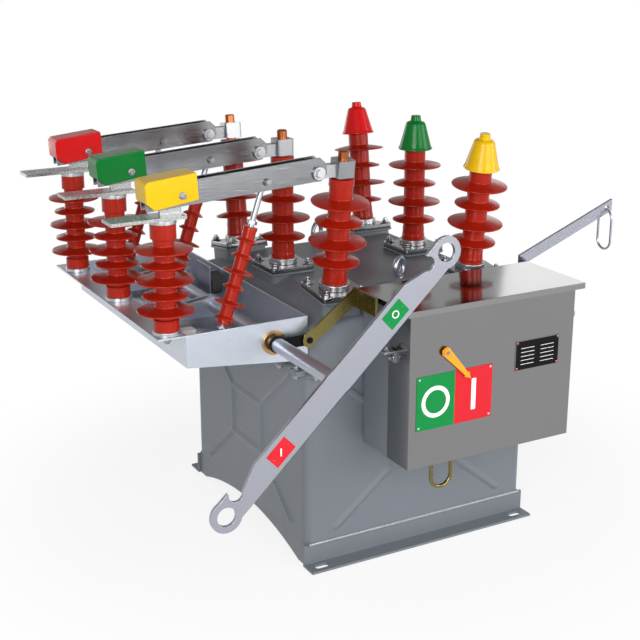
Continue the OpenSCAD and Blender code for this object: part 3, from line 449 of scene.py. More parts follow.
def prism(outline: Sequence[Point2], depth: float, edge: float = 0.0, segments: int = 2) -> Mesh:
    """Extrude an outline along Z and round its edges.

    Args:
        outline: points of the outline in the XY plane.
        depth: length of the extrusion.
        edge: radius of the rounded edges.
        segments: faces across a rounded edge.

    Returns:
        A bmesh of the closed prism.
    """
    bm = bmesh.new()
    base = bm.faces.new([bm.verts.new((x, y, 0.0)) for x, y in outline])
    grown = bmesh.ops.extrude_face_region(bm, geom=[base])["geom"]
    bmesh.ops.translate(bm, vec=(0, 0, depth), verts=only(bmesh.types.BMVert, grown))
    bmesh.ops.recalc_face_normals(bm, faces=bm.faces)
    if edge:
        soften(bm, edge, segments)
    return bm


def soften(bm: Mesh, width: float, segments: int) -> None:
    """Round every sharp edge by a width, with some faces across it."""
    sharp = [e for e in bm.edges if len(e.link_faces) == 2 and e.calc_face_angle(0.0) > SHARP]
    round_off(bm, sharp, width, segments)


def round_off(bm: Mesh, edges: Sequence[bmesh.types.BMEdge], width: float, segments: int) -> None:
    """Round some edges by a width, with some faces across it."""
    bmesh.ops.bevel(bm, geom=edges, offset=width, offset_type="OFFSET", segments=segments, profile=0.5,
                    affect="EDGES", clamp_overlap=True, material=-1)


def merged(parts: Iterable[tuple[Mesh, Matrix]]) -> Mesh:
    """Join meshes, each moved to its place, into one.

    Args:
        parts: meshes with their places.

    Returns:
        One bmesh that holds them all.
    """
    whole = bmesh.new()
    carrier = bpy.data.meshes.new("carrier")
    for bm, place in parts:
        bm.to_mesh(carrier)
        carrier.transform(place)
        whole.from_mesh(carrier)
    bpy.data.meshes.remove(carrier)
    return whole


def set_up(name: str, data: bpy.types.ID) -> bpy.types.Object:
    """Put data in the scene.

    Args:
        name: the object's name.
        data: its mesh, lamp or camera.

    Returns:
        The new object, at the origin.
    """
    thing = bpy.data.objects.new(name, data)
    bpy.context.scene.collection.objects.link(thing)
    return thing


def make_piece(name: str, bm: Mesh, finish: Finish, body: str,
               place: Optional[Matrix] = None, hides: Sequence[str] = (), smooth: float = 38.0) -> None:
    """Turn a mesh into a piece of the object.

    Args:
        name: the piece's name.
        bm: its mesh, which is freed.
        finish: its finish.
        body: the body that it rides on.
        place: where the mesh goes, or nothing if it is in place.
        hides: nodes that the piece stands for.
        smooth: edges flatter than this many degrees are shaded smooth.
    """
    mesh = bpy.data.meshes.new(name)
    bm.to_mesh(mesh)
    bm.free()
    if place is not None:
        mesh.transform(place)
    mesh.shade_smooth()
    mesh.set_sharp_from_angle(angle=math.radians(smooth))
    mesh.materials.append(finish.material())
    piece = set_up(name, mesh)
    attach(piece, body)
    if hides:
        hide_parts(*hides)
    even = piece.modifiers.new("even_normals", "WEIGHTED_NORMAL")
    even.keep_sharp = True
    LOG.info("%s: %d faces on %s", name, len(mesh.polygons), body)


def body_of_node(node: str) -> str:
    """Body that carries a node."""
    bodies = frame["record"]["behaviour"]["bodies"]
    return next(body for body, members in bodies.items() if node in members)


def dress_node(node: str, finish: Finish, edge_mm: float, segments: int = 2, thin: float = 1.0) -> None:
    """Stand a copy of a node with rounded edges in the node's place.

    Args:
        node: the node's name.
        finish: its finish.
        edge_mm: width of the rounding on its sharp edges.
        segments: faces across a rounded edge.
        thin: share of its depth that is kept, measured from its back.
    """
    bm = bmesh.new()
    bm.from_mesh(frame["nodes"][node].data)
    bmesh.ops.remove_doubles(bm, verts=bm.verts, dist=0.01 * MM)
    bmesh.ops.dissolve_limit(bm, angle_limit=math.radians(0.5), verts=bm.verts, edges=bm.edges)
    back = Matrix.Translation((0, -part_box(node)[1].y, 0))
    bmesh.ops.scale(bm, vec=(1, thin, 1), space=back, verts=bm.verts)
    if edge_mm:
        soften(bm, edge_mm * MM, segments)
    make_piece(node + ".skin", bm, finish, body_of_node(node), hides=[node])


def joint_place(name: str) -> Vector:
    """Place of a joint in the frame."""
    return Vector(next(j["pos_m"] for j in frame["joints"] if j["name"] == name))


@dataclass
class Bolts:
    """A set of like hexagon bolts or nuts with washers on one body.

    across_mm is measured across the flats, and washer is the washer's radius in radii of the head.
    """

    name: str
    body: str = ROOT
    across_mm: float = 13.0
    head_mm: float = 5.5
    washer: float = 1.3
    washer_mm: float = 1.6
    thread_mm: float = 3.0
    finish: Finish = BOLT_ZINC
    turn: float = 12.0
    places: list[Matrix] = field(default_factory=list)

    def add(self, point: Sequence[float], normal: Vector) -> None:
        """Set one bolt on a face."""
        self.places.append(facing(point, normal, self.turn))

    def one(self) -> Mesh:
        """Mesh of one bolt: a washer, the chamfered hexagon and the thread's end.

        Returns:
            A bmesh that stands on the XY plane.
        """
        head_r = self.across_mm / 2 / math.cos(math.pi / 6) * MM
        wide, thick = head_r * self.washer, self.washer_mm * MM
        washer = turned([(0, 0), (wide - 0.3 * MM, 0), (wide, thick * 0.5), (wide - 0.5 * MM, thick),
                         (0, thick)], 28)
        head = prism(arc((0, 0), head_r, 0, 300, 5), self.head_mm * MM, 0.5 * MM, 2)
        parts = [(washer, Matrix.Identity(4)), (head, raised(thick))]
        if self.thread_mm:
            tip_r, tip = head_r * 0.55, self.thread_mm * MM
            end = turned([(0, 0), (tip_r, 0), (tip_r, tip * 0.75), (tip_r * 0.8, tip), (0, tip)], 18)
            parts.append((end, raised(thick + self.head_mm * MM)))
        return merged(parts)

    def build(self) -> None:
        """Make the set as one joined piece."""
        bolt = self.one()
        make_piece(self.name, merged([(bolt, p) for p in self.places]), self.finish, self.body)


@dataclass
class Insulator:
    """Turned silicone insulator: a beaded foot, drooping sheds on a core and a stout head."""

    core: float
    height: float
    foot: float
    head: float
    sheds: list[tuple[float, float]]
    droop: float = 6 * MM
    crown: float = 3 * MM
    rim: float = 1.7 * MM
    swell: float = 2 * MM
    root: float = 3 * MM
    beaded: bool = True

    def shed(self, level: float, radius: float) -> list[Point2]:
        """Outline of one shed, from its root below to its root above.

        Args:
            level: height of the shed on the core.
            radius: outer radius.

        Returns:
            Radius and height of each point.
        """
        core, droop, rim, root = self.core, self.droop, self.rim, self.root
        reach, top = radius - core, level + self.crown
        below = curve((core, level - droop), (core, level - 0.55 * droop),
                      (core + reach / 4, level - 0.6 * droop), 5)
        lip = arc((radius - rim, level - droop + rim), rim, 262, 440, 8)
        slope = curve(lip[-1], (core + reach * 0.45, top - 0.25 * (top - lip[-1][1])), (core + root, top), 5)
        above = curve(slope[-1], (core, top), (core, top + root), 4)
        return below + lip + slope[1:] + above[1:]

    def profile(self) -> list[Point2]:
        """Outline of the whole insulator.

        Returns:
            Radius and height of each point from the axis below to the axis above.
        """
        core, swell, foot = self.core, self.swell, self.foot
        waist, head = core + 0.5 * swell, core + 0.8 * swell
        if self.beaded:
            low = [(0, 0), (waist, 0)] + curve((waist, foot * 0.2), (core + 1.6 * swell, foot * 0.42),
                                               (waist, foot * 0.66), 8)
            low += [(core + 0.4 * swell, foot), (core, foot + swell)]
        else:
            low = [(0, 0), (head, 0), (head, foot), (core, foot + 0.4 * swell)]
        body = [p for level, radius in self.sheds for p in self.shed(level, radius)]
        top, edge = self.height - self.head, min(0.8 * MM, self.head / 2)
        high = [(core, top - 0.4 * swell), (head, top), (head, self.height - edge),
                (head - edge, self.height), (0, self.height)]
        return low + body + high

    def build(self, name: str, body: str, place: Matrix, hides: Sequence[str]) -> None:
        """Make the insulator on a body, at its foot's place, in the place of some nodes."""
        make_piece(name, turned(self.profile(), 80), SILICONE, body, place, hides, smooth=50)


def metal_ring(radius: float, height: float, bore: float, edge: float) -> Mesh:
    """A turned ring with a rounded upper edge.

    Args:
        radius: outer radius.
        height: its height.
        bore: radius where its upper face ends.
        edge: radius of the rounded edge.

    Returns:
        A bmesh that stands on the XY plane.
    """
    outline = [(0, 0), (radius - edge / 2, 0), (radius, edge / 2)]
    outline += arc((radius - edge, height - edge), edge, 0, 90, 5) + [(bore, height)]
    return turned(outline)


@dataclass
class Base:
    """Foot rails and skirts under the tank."""

    weld_mm: float = 3.5
    weld_end: float = 10 * MM
    lump: float = 4 * MM
    lump_swell: float = 1.12

    def build(self) -> None:
        """Dress the rails and skirts and lay the weld beads along them."""
        for node in ("base_rail_front", "base_rail_back", "base_skirts"):
            dress_node(node, GREY_ENAMEL, 1.2)
        self.weld()

    def weld(self) -> None:
        """Lay a weld bead between each rail and the tank."""
        low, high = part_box("base_rail_front")
        half_y = tank_half()[1]
        beads = []
        for side in (-1, 1):
            bead = self.bead(high.x - low.x - 2 * self.weld_end)
            beads.append((bead, Matrix.Translation((low.x + self.weld_end, side * half_y, high.z))))
        make_piece("tank_weld_beads", merged(beads), WELD, ROOT, smooth=60)

    def bead(self, length: float) -> Mesh:
        """A lumpy round bead along X.

        Args:
            length: its length.

        Returns:
            A bmesh that starts at the origin.
        """
        steps = int(length / self.lump)
        bm = bmesh.new()
        ring = bmesh.ops.create_circle(bm, cap_ends=True, radius=self.weld_mm * MM, segments=8)["verts"]
        bmesh.ops.rotate(bm, verts=ring, cent=(0, 0, 0), matrix=Matrix.Rotation(math.pi / 2, 3, "Y"))
        face = bm.faces[:][0]
        for step in range(steps):
            grown = bmesh.ops.extrude_face_region(bm, geom=[face])["geom"]
            verts = only(bmesh.types.BMVert, grown)
            bmesh.ops.delete(bm, geom=[face], context="FACES_ONLY")
            face = only(bmesh.types.BMFace, grown)[0]
            bmesh.ops.translate(bm, vec=(length / steps, 0, 0), verts=verts)
            swell = self.lump_swell if step % 2 else 1 / self.lump_swell
            bmesh.ops.scale(bm, vec=(1, swell, swell), verts=verts)
        bmesh.ops.recalc_face_normals(bm, faces=bm.faces)
        return bm


def tank_half() -> Point2:
    """Half width and half depth of the tank's walls."""
    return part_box("base_skirts")[1].x, -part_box("mechanism_frame")[1].y


@dataclass
class Tank:
    """Tank with pressed ribs, and the bolting ears round its joint with the cover."""

    corner: float = 18 * MM
    rib_w: float = 18 * MM
    rib_h: float = 4 * MM
    frame_x: float = 68 * MM
    frame_z: float = 52 * MM
    rib_side: float = 66 * MM
    rib_end: float = 26 * MM
    cell: float = 3.3 * MM
    seal_t: float = 2 * MM
    ear_count: int = 8
    ear_w: float = 30 * MM
    ear_out: float = 18 * MM
    ear_t: float = 5 * MM
    ear_in: float = 18 * MM
    half_x: float = field(init=False)
    half_y: float = field(init=False)
    floor: float = field(init=False)
    joint: float = field(init=False)

    def build(self) -> None:
        """Make the walls, the seal and the ears with their bolts."""
        low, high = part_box("tank_body")
        self.half_x, self.half_y = tank_half()
        self.floor, self.joint = low.z, high.z
        make_piece("tank_walls", self.walls(), GREY_ENAMEL, ROOT, hides=["tank_body"], smooth=60)
        inset = 1.5 * MM
        outline = rounded_outline(2 * (self.half_x - inset), 2 * (self.half_y - inset), self.corner)
        seal = prism(outline, self.seal_t)
        make_piece("cover_seal", seal, BLACK_RUBBER, ROOT,
                   raised(self.joint - self.seal_t / 2))
        self.ears()

    def bump(self, u: float, v: float, half: float) -> float:
        """Height of the pressed ribs on a face.

        Args:
            u: distance from the face's middle, sideways.
            v: distance from the face's middle, upwards.
            half: half width of the face.

        Returns:
            Height above the face.
        """
        x, z = abs(u), abs(v)
        far = (half - self.rib_side, (self.joint - self.floor) / 2 - self.rib_end)
        knot = (self.frame_x, self.frame_z)
        lines = (((0.0, knot[1]), knot), ((knot[0], 0.0), knot), (knot, far))
        nearest = min(self.distance(x, z, a, b) for a, b in lines)
        t = min(max(nearest / (self.rib_w / 2) - 0.3, 0.0) / 0.55, 1.0)
        return self.rib_h * (1 - t * t * (3 - 2 * t))

    @staticmethod
    def distance(x: float, z: float, a: Point2, b: Point2) -> float:
        """Distance of a point from a line segment.

        Args:
            x: the point, sideways.
            z: the point, upwards.
            a: the segment's start.
            b: the segment's end.

        Returns:
            The distance.
        """
        run = (b[0] - a[0], b[1] - a[1])
        t = ((x - a[0]) * run[0] + (z - a[1]) * run[1]) / (run[0] ** 2 + run[1] ** 2)
        t = min(max(t, 0.0), 1.0)
        return math.hypot(x - a[0] - t * run[0], z - a[1] - t * run[1])

    def walls(self) -> Mesh:
        """Upright walls as one skin, pressed out along the ribs.

        Returns:
            A closed bmesh in place.
        """
        bm = bmesh.new()
        outline = rounded_outline(2 * self.half_x, 2 * self.half_y, self.corner, 6)
        bm.faces.new([bm.verts.new((x, y, self.floor)) for x, y in outline])
        flats = [e for e in bm.edges if e.calc_length() > 0.1]
        bmesh.ops.subdivide_edges(bm, edges=flats, cuts=int(2 * self.half_x / self.cell))
        rise = self.joint - self.seal_t / 2 - self.floor
        rows = int(rise / self.cell)
        edges = list(bm.edges)
        for _ in range(rows):
            grown = bmesh.ops.extrude_edge_only(bm, edges=edges)["geom"]
            verts = only(bmesh.types.BMVert, grown)
            edges = only(bmesh.types.BMEdge, grown)
            bmesh.ops.translate(bm, vec=(0, 0, rise / rows), verts=verts)
        bmesh.ops.contextual_create(bm, geom=edges)
        middle = (self.floor + self.joint) / 2
        for vert in bm.verts:
            x, y, z = vert.co
            if abs(abs(y) - self.half_y) < TINY:
                vert.co.y += math.copysign(self.bump(x, z - middle, self.half_x), y)
            elif abs(abs(x) - self.half_x) < TINY:
                vert.co.x += math.copysign(self.bump(y, z - middle, self.half_y), x)
        bmesh.ops.recalc_face_normals(bm, faces=bm.faces)
        return bm

    def ears(self) -> None:
        """Set pairs of ears round the joint, each with a bolt and a nut."""
        ears, row = [], Bolts("joint_bolts", across_mm=11, head_mm=5)
        for quarter in range(4):
            run, out = (self.half_x, self.half_y) if quarter % 2 == 0 else (self.half_y, self.half_x)
            turn = Matrix.Rotation(quarter * math.pi / 2, 4, "Z")
            for i in range(self.ear_count):
                along = (run - self.ear_in) * (2 * i / (self.ear_count - 1) - 1)
                if quarter == 0 and self.behind_box(along):
                    continue
                for level, face, normal in ((self.joint - self.ear_t, self.joint - self.ear_t, -UP),
                                            (self.joint, self.joint + self.ear_t, UP)):
                    tab = prism(rounded_outline(self.ear_w, 2 * self.ear_out, 5 * MM), self.ear_t, 0.8 * MM)
                    ears.append((tab, turn @ Matrix.Translation((along, -out, level))))
                    seat = (along, -out - self.ear_out / 2 - 1 * MM, face)
                    row.places.append(turn @ facing(seat, normal, 9 * i))
        make_piece("joint_ears", merged(ears), GREY_ENAMEL, ROOT)
        row.build()

    def behind_box(self, along: float) -> bool:
        """Whether an ear on the front would meet the mechanism box."""
        low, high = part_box("mechanism_frame")
        return low.x - self.ear_w <= along <= high.x + self.ear_w


@dataclass
class CoverHousing:
    """Upper housing with turrets, clamping plates, seals and eye bolts."""

    level: float = 550 * MM
    foot_pitch: float = 210 * MM
    rows: tuple[float, float] = (-172 * MM, 143 * MM)
    walls: float = 91 * MM
    roof: float = 38 * MM
    roof_run: float = 80 * MM
    bend: float = 9 * MM
    corner: float = 18 * MM
    turret: float = 90 * MM
    rim: float = 98 * MM
    rim_h: float = 7 * MM
    plate: float = 96 * MM
    plate_t: float = 8 * MM
    plate_corner: float = 8 * MM
    gasket_t: float = 2.2 * MM
    bolt_pitch: float = 74 * MM
    turret_depth: float = 70 * MM

    def place(self, row_x: float, phase: Phase) -> Matrix:
        """Foot of a bushing, with Z along its fanned axis.

        Args:
            row_x: place of the bushing row.
            phase: the phase.

        Returns:
            The 4x4 matrix of the place.
        """
        pivot = joint_place("blade_back_turn")
        fan = math.atan2(pivot.y - self.foot_pitch, pivot.z - self.level)
        return (Matrix.Translation((row_x, phase.value * self.foot_pitch, self.level))
                @ Matrix.Rotation(-phase.value * fan, 4, "X"))

    def feet(self) -> list[Matrix]:
        """Feet of all six bushings."""
        return [self.place(row_x, phase) for row_x in self.rows for phase in Phase]

    def build(self) -> None:
        """Make the housing, turrets, plates, seals, bolts and eyes."""
        make_piece("cover_housing", self.housing(), GREY_ENAMEL, ROOT, hides=["tank_cover"])
        under = -self.plate_t - self.gasket_t
        turrets, gaskets, plates = [], [], []
        for foot in self.feet():
            shaft = prism(rounded_outline(self.turret, self.turret, 12 * MM, 6), self.turret_depth)
            turrets.append((shaft, foot @ raised(under - 1 * MM - self.turret_depth)))
            collar = rounded_outline(self.rim, self.rim, 9 * MM, 6)
            rim = prism(collar, self.rim_h - self.gasket_t, 1.8 * MM, 3)
            turrets.append((rim, foot @ raised(-self.plate_t - self.rim_h)))
            gasket = prism(rounded_outline(self.plate - 1 * MM, self.plate - 1 * MM, 7 * MM), self.gasket_t)
            gaskets.append((gasket, foot @ raised(under)))
            square = rounded_outline(self.plate, self.plate, self.plate_corner)
            plate = prism(square, self.plate_t, 1.5 * MM, 3)
            plates.append((plate, foot @ raised(-self.plate_t)))
        make_piece("bushing_turrets", merged(turrets), GREY_ENAMEL, ROOT)
        make_piece("turret_gaskets", merged(gaskets), BLACK_RUBBER, ROOT)
        make_piece("bushing_plates", merged(plates), PLATE_STEEL, ROOT,
                   hides=["left_flange_plates", "right_flange_plates"])
        dress_node("lifting_eyes", ZINC, 0)
        self.bolts()

    def housing(self) -> Mesh:
        """Upright walls with a hipped roof, bent round at the eaves.

        Returns:
            A bmesh in place.
        """
        half_x, half_y = tank_half()
        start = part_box("tank_body")[1].z + 1 * MM
        eaves = start - 1 * MM + self.walls
        bm = prism(rounded_outline(2 * half_x, 2 * half_y, self.corner, 8), eaves - start)
        top = max(bm.faces, key=lambda f: f.calc_center_median().z)
        grown = bmesh.ops.extrude_face_region(bm, geom=[top])["geom"]
        bmesh.ops.delete(bm, geom=[top], context="FACES_ONLY")
        verts = only(bmesh.types.BMVert, grown)
        bmesh.ops.translate(bm, vec=(0, 0, self.roof), verts=verts)
        bmesh.ops.scale(bm, vec=(1 - self.roof_run / half_x, 1 - self.roof_run / half_y, 1), verts=verts)
        bmesh.ops.translate(bm, vec=(0, 0, start), verts=bm.verts)
        bends = [e for e in bm.edges if all(abs(v.co.z - e.verts[0].co.z) < TINY and v.co.z > eaves - 1 * MM
                                            for v in e.verts)]
        round_off(bm, bends, self.bend, 5)
        bmesh.ops.recalc_face_normals(bm, faces=bm.faces)
        return bm

    def bolts(self) -> None:
        """Set four studs with nuts and broad washers on each clamping plate."""
        row = Bolts("plate_bolts", washer=1.55, thread_mm=5)
        for foot in self.feet():
            for sx, sy in ((-1, -1), (-1, 1), (1, -1), (1, 1)):
                corner = Vector((sx, sy, 0)) * (self.bolt_pitch / 2)
                row.places.append(foot @ facing(corner, UP, 20 * sx + 10 * sy))
        row.build()


@dataclass
class Bushings:
    """Shedded bushings with their neck rings, caps, studs and clamps."""

    housing: CoverHousing
    core: float = 22 * MM
    small: float = 45 * MM
    large: float = 55 * MM
    first: float = 58 * MM
    step: float = 39 * MM
    foot_h: float = 38 * MM
    neck_r: float = 29 * MM
    neck_h: float = 12 * MM
    left_h: float = 218 * MM
    left_head: float = 16 * MM
    right_h: float = 205 * MM
    right_head: float = 1 * MM

    def build(self) -> None:
        """Make both rows, the caps, studs and clamps."""
        left_x, right_x = self.housing.rows
        for phase in Phase:
            left, right = self.housing.place(left_x, phase), self.housing.place(right_x, phase)
            self.bushing(f"left_bushing_{phase.tag}", left, self.left_h, self.left_head)
            self.bushing(f"right_bushing_{phase.tag}", right, self.right_h, self.right_head)
            self.cap(phase, right)
        dress_node("copper_studs", COPPER, 0)
        dress_node("terminal_clamps", CASTING, 1.2)

    def bushing(self, node: str, foot: Matrix, height: float, head: float) -> None:
        """Make one bushing and its neck ring.

        Args:
            node: the node that it stands for.
            foot: its foot on the plate.
            height: height of the insulator.
            head: height of its stout head.
        """
        sheds = [(self.first + i * self.step, self.large if i % 2 else self.small) for i in range(4)]
        Insulator(self.core, height, self.foot_h, head, sheds).build(node + ".rubber", ROOT, foot, [node])
        ring = metal_ring(self.neck_r, self.neck_h, self.core, 2 * MM)
        make_piece(node + ".neck_ring", ring, BRIGHT_ALUMINIUM, ROOT, foot)

    def cap(self, phase: Phase, foot: Matrix) -> None:
        """Make one bell-shaped phase cap.

        Args:
            phase: the phase.
            foot: foot of the bushing below it.
        """
        outline = [(0, 0), (34.8, 0), (35.5, 0.7), (35.5, 2), (34.6, 3.8), (33, 6.4), (20.8, 52), (19.8, 54.6),
                   (17.6, 56.8), (13.2, 58.2), (11.5, 59.4), (10.9, 61), (10.1, 68.6), (9, 70), (0, 70)]
        profile = [(r * MM, self.right_h + z * MM) for r, z in outline]
        node = f"phase_cap_{phase.tag}"
        make_piece(node + ".bell", turned(profile), PHASE_FINISH[phase], ROOT, foot,
                   [node], smooth=30)


@dataclass(frozen=True)
class SignPlate:
    """A thin riveted plate, given by its lower left corner and its size."""

    name: str
    low: Point2
    size: Point2

    @property
    def middle(self) -> Point2:
        """Centre of the plate."""
        return self.low[0] + self.size[0] / 2, self.low[1] + self.size[1] / 2

    def half(self, right: bool) -> "SignPlate":
        """Left or right half of the plate.

        Args:
            right: whether it is the right half.

        Returns:
            That half as a plate of its own.
        """
        width, height = self.size[0] / 2, self.size[1]
        side = "closed" if right else "open"
        return SignPlate(f"{self.name}_{side}", (self.low[0] + width * right, self.low[1]), (width, height))

    def corners(self, inset: float) -> list[Point2]:
        """Places of the rivets.

        Args:
            inset: distance from the edges.

        Returns:
            Place from left to right and height of each.
        """
        xs = (self.low[0] + inset, self.low[0] + self.size[0] - inset)
        zs = (self.low[1] + inset, self.low[1] + self.size[1] - inset)
        return [(x, z) for x in xs for z in zs]


def ring_mark(radius: float, width: float, relief: float) -> Mesh:
    """Flat ring on the XY plane, the sign for open."""
    inner = radius - width
    return turned([(inner, 0), (radius, 0), (radius, relief), (inner, relief), (inner, 0)], 64)


def bar_mark(length: float, width: float, relief: float) -> Mesh:
    """Flat bar along Y on the XY plane, the sign for closed."""
    return prism(rounded_outline(width, length, width * 0.1, 3), relief)


def dome(radius: float) -> Mesh:
    """Head of a dome rivet that stands on the XY plane."""
    return turned([(0, 0), (radius, 0), (radius * 0.92, radius * 0.3), (radius * 0.6, radius * 0.5),
                   (0, radius * 0.58)], 18)


@dataclass
class MechanismBox:
    """Mechanism box with its lid, plates, side catch and pointer."""

    position: SignPlate = SignPlate("position_plate", (-120.5 * MM, 319 * MM), (169 * MM, 106 * MM))
    name: SignPlate = SignPlate("nameplate", (100 * MM, 398 * MM), (105 * MM, 61 * MM))
    sheet: float = 1.0 * MM
    print_t: float = 0.2 * MM
    ring: Point2 = (31 * MM, 8 * MM)
    bar: Point2 = (62 * MM, 10 * MM)
    rule_t: float = 0.9 * MM
    rule_rows: int = 5
    # left end and length of the rules in each column, as shares of the plate's width
    rule_columns: tuple[Point2, Point2] = ((0.13, 0.3), (0.57, 0.3))
    # height of the lowest row and distance of the rows, as shares of the plate's height
    rule_levels: Point2 = (0.2, 0.13)
    rivet_r: float = 2.6 * MM
    catch_level: float = 463 * MM
    face: float = field(init=False)

    def build(self) -> None:
        """Dress the box and set its plates."""
        dress_node("mechanism_frame", GREY_ENAMEL, 2.0)
        dress_node("mechanism_cover", STAINLESS, 2.5, 3)
        dress_node("mechanism_lid", MIRROR, 0.9)
        self.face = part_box("mechanism_cover")[0].y
        self.sign()
        self.nameplate()
        self.pointer()
        self.catch()

    def on_face(self, x: float, z: float, lift: float = 0.0) -> Matrix:
        """Place on the box's front, or lifted off it, with Z towards the viewer."""
        return facing((x, self.face - lift, z), FRONT_SIDE)

    def sign(self) -> None:
        """Two-colour position plate with a ring for open and a bar for closed."""
        for right, finish, slot in ((False, SIGN_GREEN, "green_plastic"), (True, SIGN_RED, "red_plastic")):
            half = self.position.half(right)
            plate = prism(rounded_outline(*half.size, 0.8 * MM, 3), self.sheet, 0.2 * MM)
            make_piece(half.name, plate, finish, ROOT, self.on_face(*half.middle))
            mark = bar_mark(*self.bar, self.print_t) if right else ring_mark(*self.ring, self.print_t)
            make_piece(half.name + "_mark", mark, SIGN_WHITE, ROOT,
                       self.on_face(*half.middle, self.sheet))
        self.rivets(self.position, 5.5 * MM, ZINC)

    def rivets(self, plate: SignPlate, inset: float, finish: Finish) -> None:
        """Dome rivets, set in from a plate's corners."""
        heads = [(dome(self.rivet_r), self.on_face(x, z, self.sheet)) for x, z in plate.corners(inset)]
        make_piece(plate.name + "_rivets", merged(heads), finish, ROOT)

    def nameplate(self) -> None:
        """Black plate with a pale border and blank ruled lines."""
        width, height = self.name.size
        rim = prism(rounded_outline(width, height, 1.5 * MM), self.sheet * 0.8, 0.2 * MM)
        make_piece("nameplate_rim", rim, TINNED, ROOT, self.on_face(*self.name.middle))
        inner = prism(rounded_outline(width - 4 * MM, height - 4 * MM, 1 * MM), self.sheet)
        make_piece("nameplate_field", inner, BLACK_ENAMEL, ROOT,
                   self.on_face(*self.name.middle))
        lines = []
        for row in range(self.rule_rows):
            for left, share in self.rule_columns:
                end, top = share * width, self.rule_t
                rule = prism([(0, 0), (end, 0), (end, top), (0, top)], self.print_t)
                level = self.name.low[1] + height * (self.rule_levels[0] + self.rule_levels[1] * row)
                lines.append((rule, self.on_face(self.name.low[0] + left * width, level, self.sheet)))
        make_piece("nameplate_rules", merged(lines), SIGN_WHITE, ROOT)
        self.rivets(self.name, 5 * MM, COPPER)

    def pointer(self) -> None:
        """Tapered arrow on its pin, with a nut that holds it."""
        pivot, pin_out = joint_place("pointer_turn"), 2.4 * MM
        dress_node("indicator_pointer", ORANGE, 0.5)
        nut = Bolts("pointer_nut", "pointer", across_mm=8, head_mm=1.5, washer=1.15, thread_mm=0.0)
        nut.add((pivot.x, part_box("indicator_pointer")[0].y + pin_out, pivot.z), FRONT_SIDE)
        nut.build()

    def catch(self) -> None:
        """Small angle with its bolts on the box's left side."""
        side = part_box("mechanism_cover")[0].x
        depth, width, sheet, drop = 26 * MM, 22 * MM, 4 * MM, 8 * MM
        middle = (self.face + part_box("mechanism_cover")[1].y) / 2 + 18 * MM
        arm = prism(rounded_outline(depth, width, 2 * MM), sheet, 0.5 * MM)
        flat = prism(rounded_outline(width, 24 * MM, 2 * MM), sheet, 0.5 * MM)
        make_piece("side_catch", merged([
            (arm, Matrix.Translation((side - depth / 2, middle, self.catch_level))),
            (flat, facing((side, middle, self.catch_level - drop), LEFT_SIDE))]), ZINC, ROOT)
        bolts = Bolts("side_catch_bolts", across_mm=10, head_mm=4.5)
        bolts.add((side - depth * 0.62, middle, self.catch_level + sheet), UP)
        bolts.add((side - sheet, middle, self.catch_level - drop * 1.5), LEFT_SIDE)
        bolts.build()


@dataclass
class Posts:
    """Post insulators with their end fittings and terminals."""

    core: float = 19 * MM
    large: float = 51 * MM
    small: float = 41 * MM
    first: float = 47.5 * MM
    above: float = 50.5 * MM
    foot_h: float = 28 * MM
    head: float = 26 * MM
    swell: float = 5 * MM
    ring_h: float = 8 * MM
    ring_r: float = 24 * MM

    def build(self) -> None:
        """Make the three posts and dress the terminals."""
        nuts = Bolts("post_nuts", across_mm=17, head_mm=8, thread_mm=6)
        ledge_t = 3 * MM
        for phase in Phase:
            node = f"post_{phase.tag}"
            low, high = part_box(node)
            middle = Vector(((low.x + high.x) / 2, (low.y + high.y) / 2, low.z))
            foot = Matrix.Translation(middle)
            height = high.z - low.z
            step = (height - self.first - self.above) / 4
            sheds = [(self.first + i * step, self.small if i % 2 else self.large) for i in range(5)]
            rubber = Insulator(self.core, height - self.ring_h, self.foot_h, self.head, sheds,
                               droop=5.5 * MM, crown=2.5 * MM, swell=self.swell, beaded=False)
            rubber.build(node + ".rubber", ROOT, foot, [node])
            foot_ring = metal_ring(self.ring_r + 1 * MM, self.ring_h, self.core, 1.5 * MM)
            top_ring = metal_ring(self.ring_r, self.ring_h, 0.0, 1.5 * MM)
            fittings = [(foot_ring, foot), (top_ring, foot @ raised(height - self.ring_h))]
            make_piece(node + ".end_rings", merged(fittings), BRIGHT_ALUMINIUM, ROOT)
            nuts.add(middle - UP * ledge_t, -UP)
        nuts.build()
        dress_node("post_terminals", PAD_TIN, 0.8)


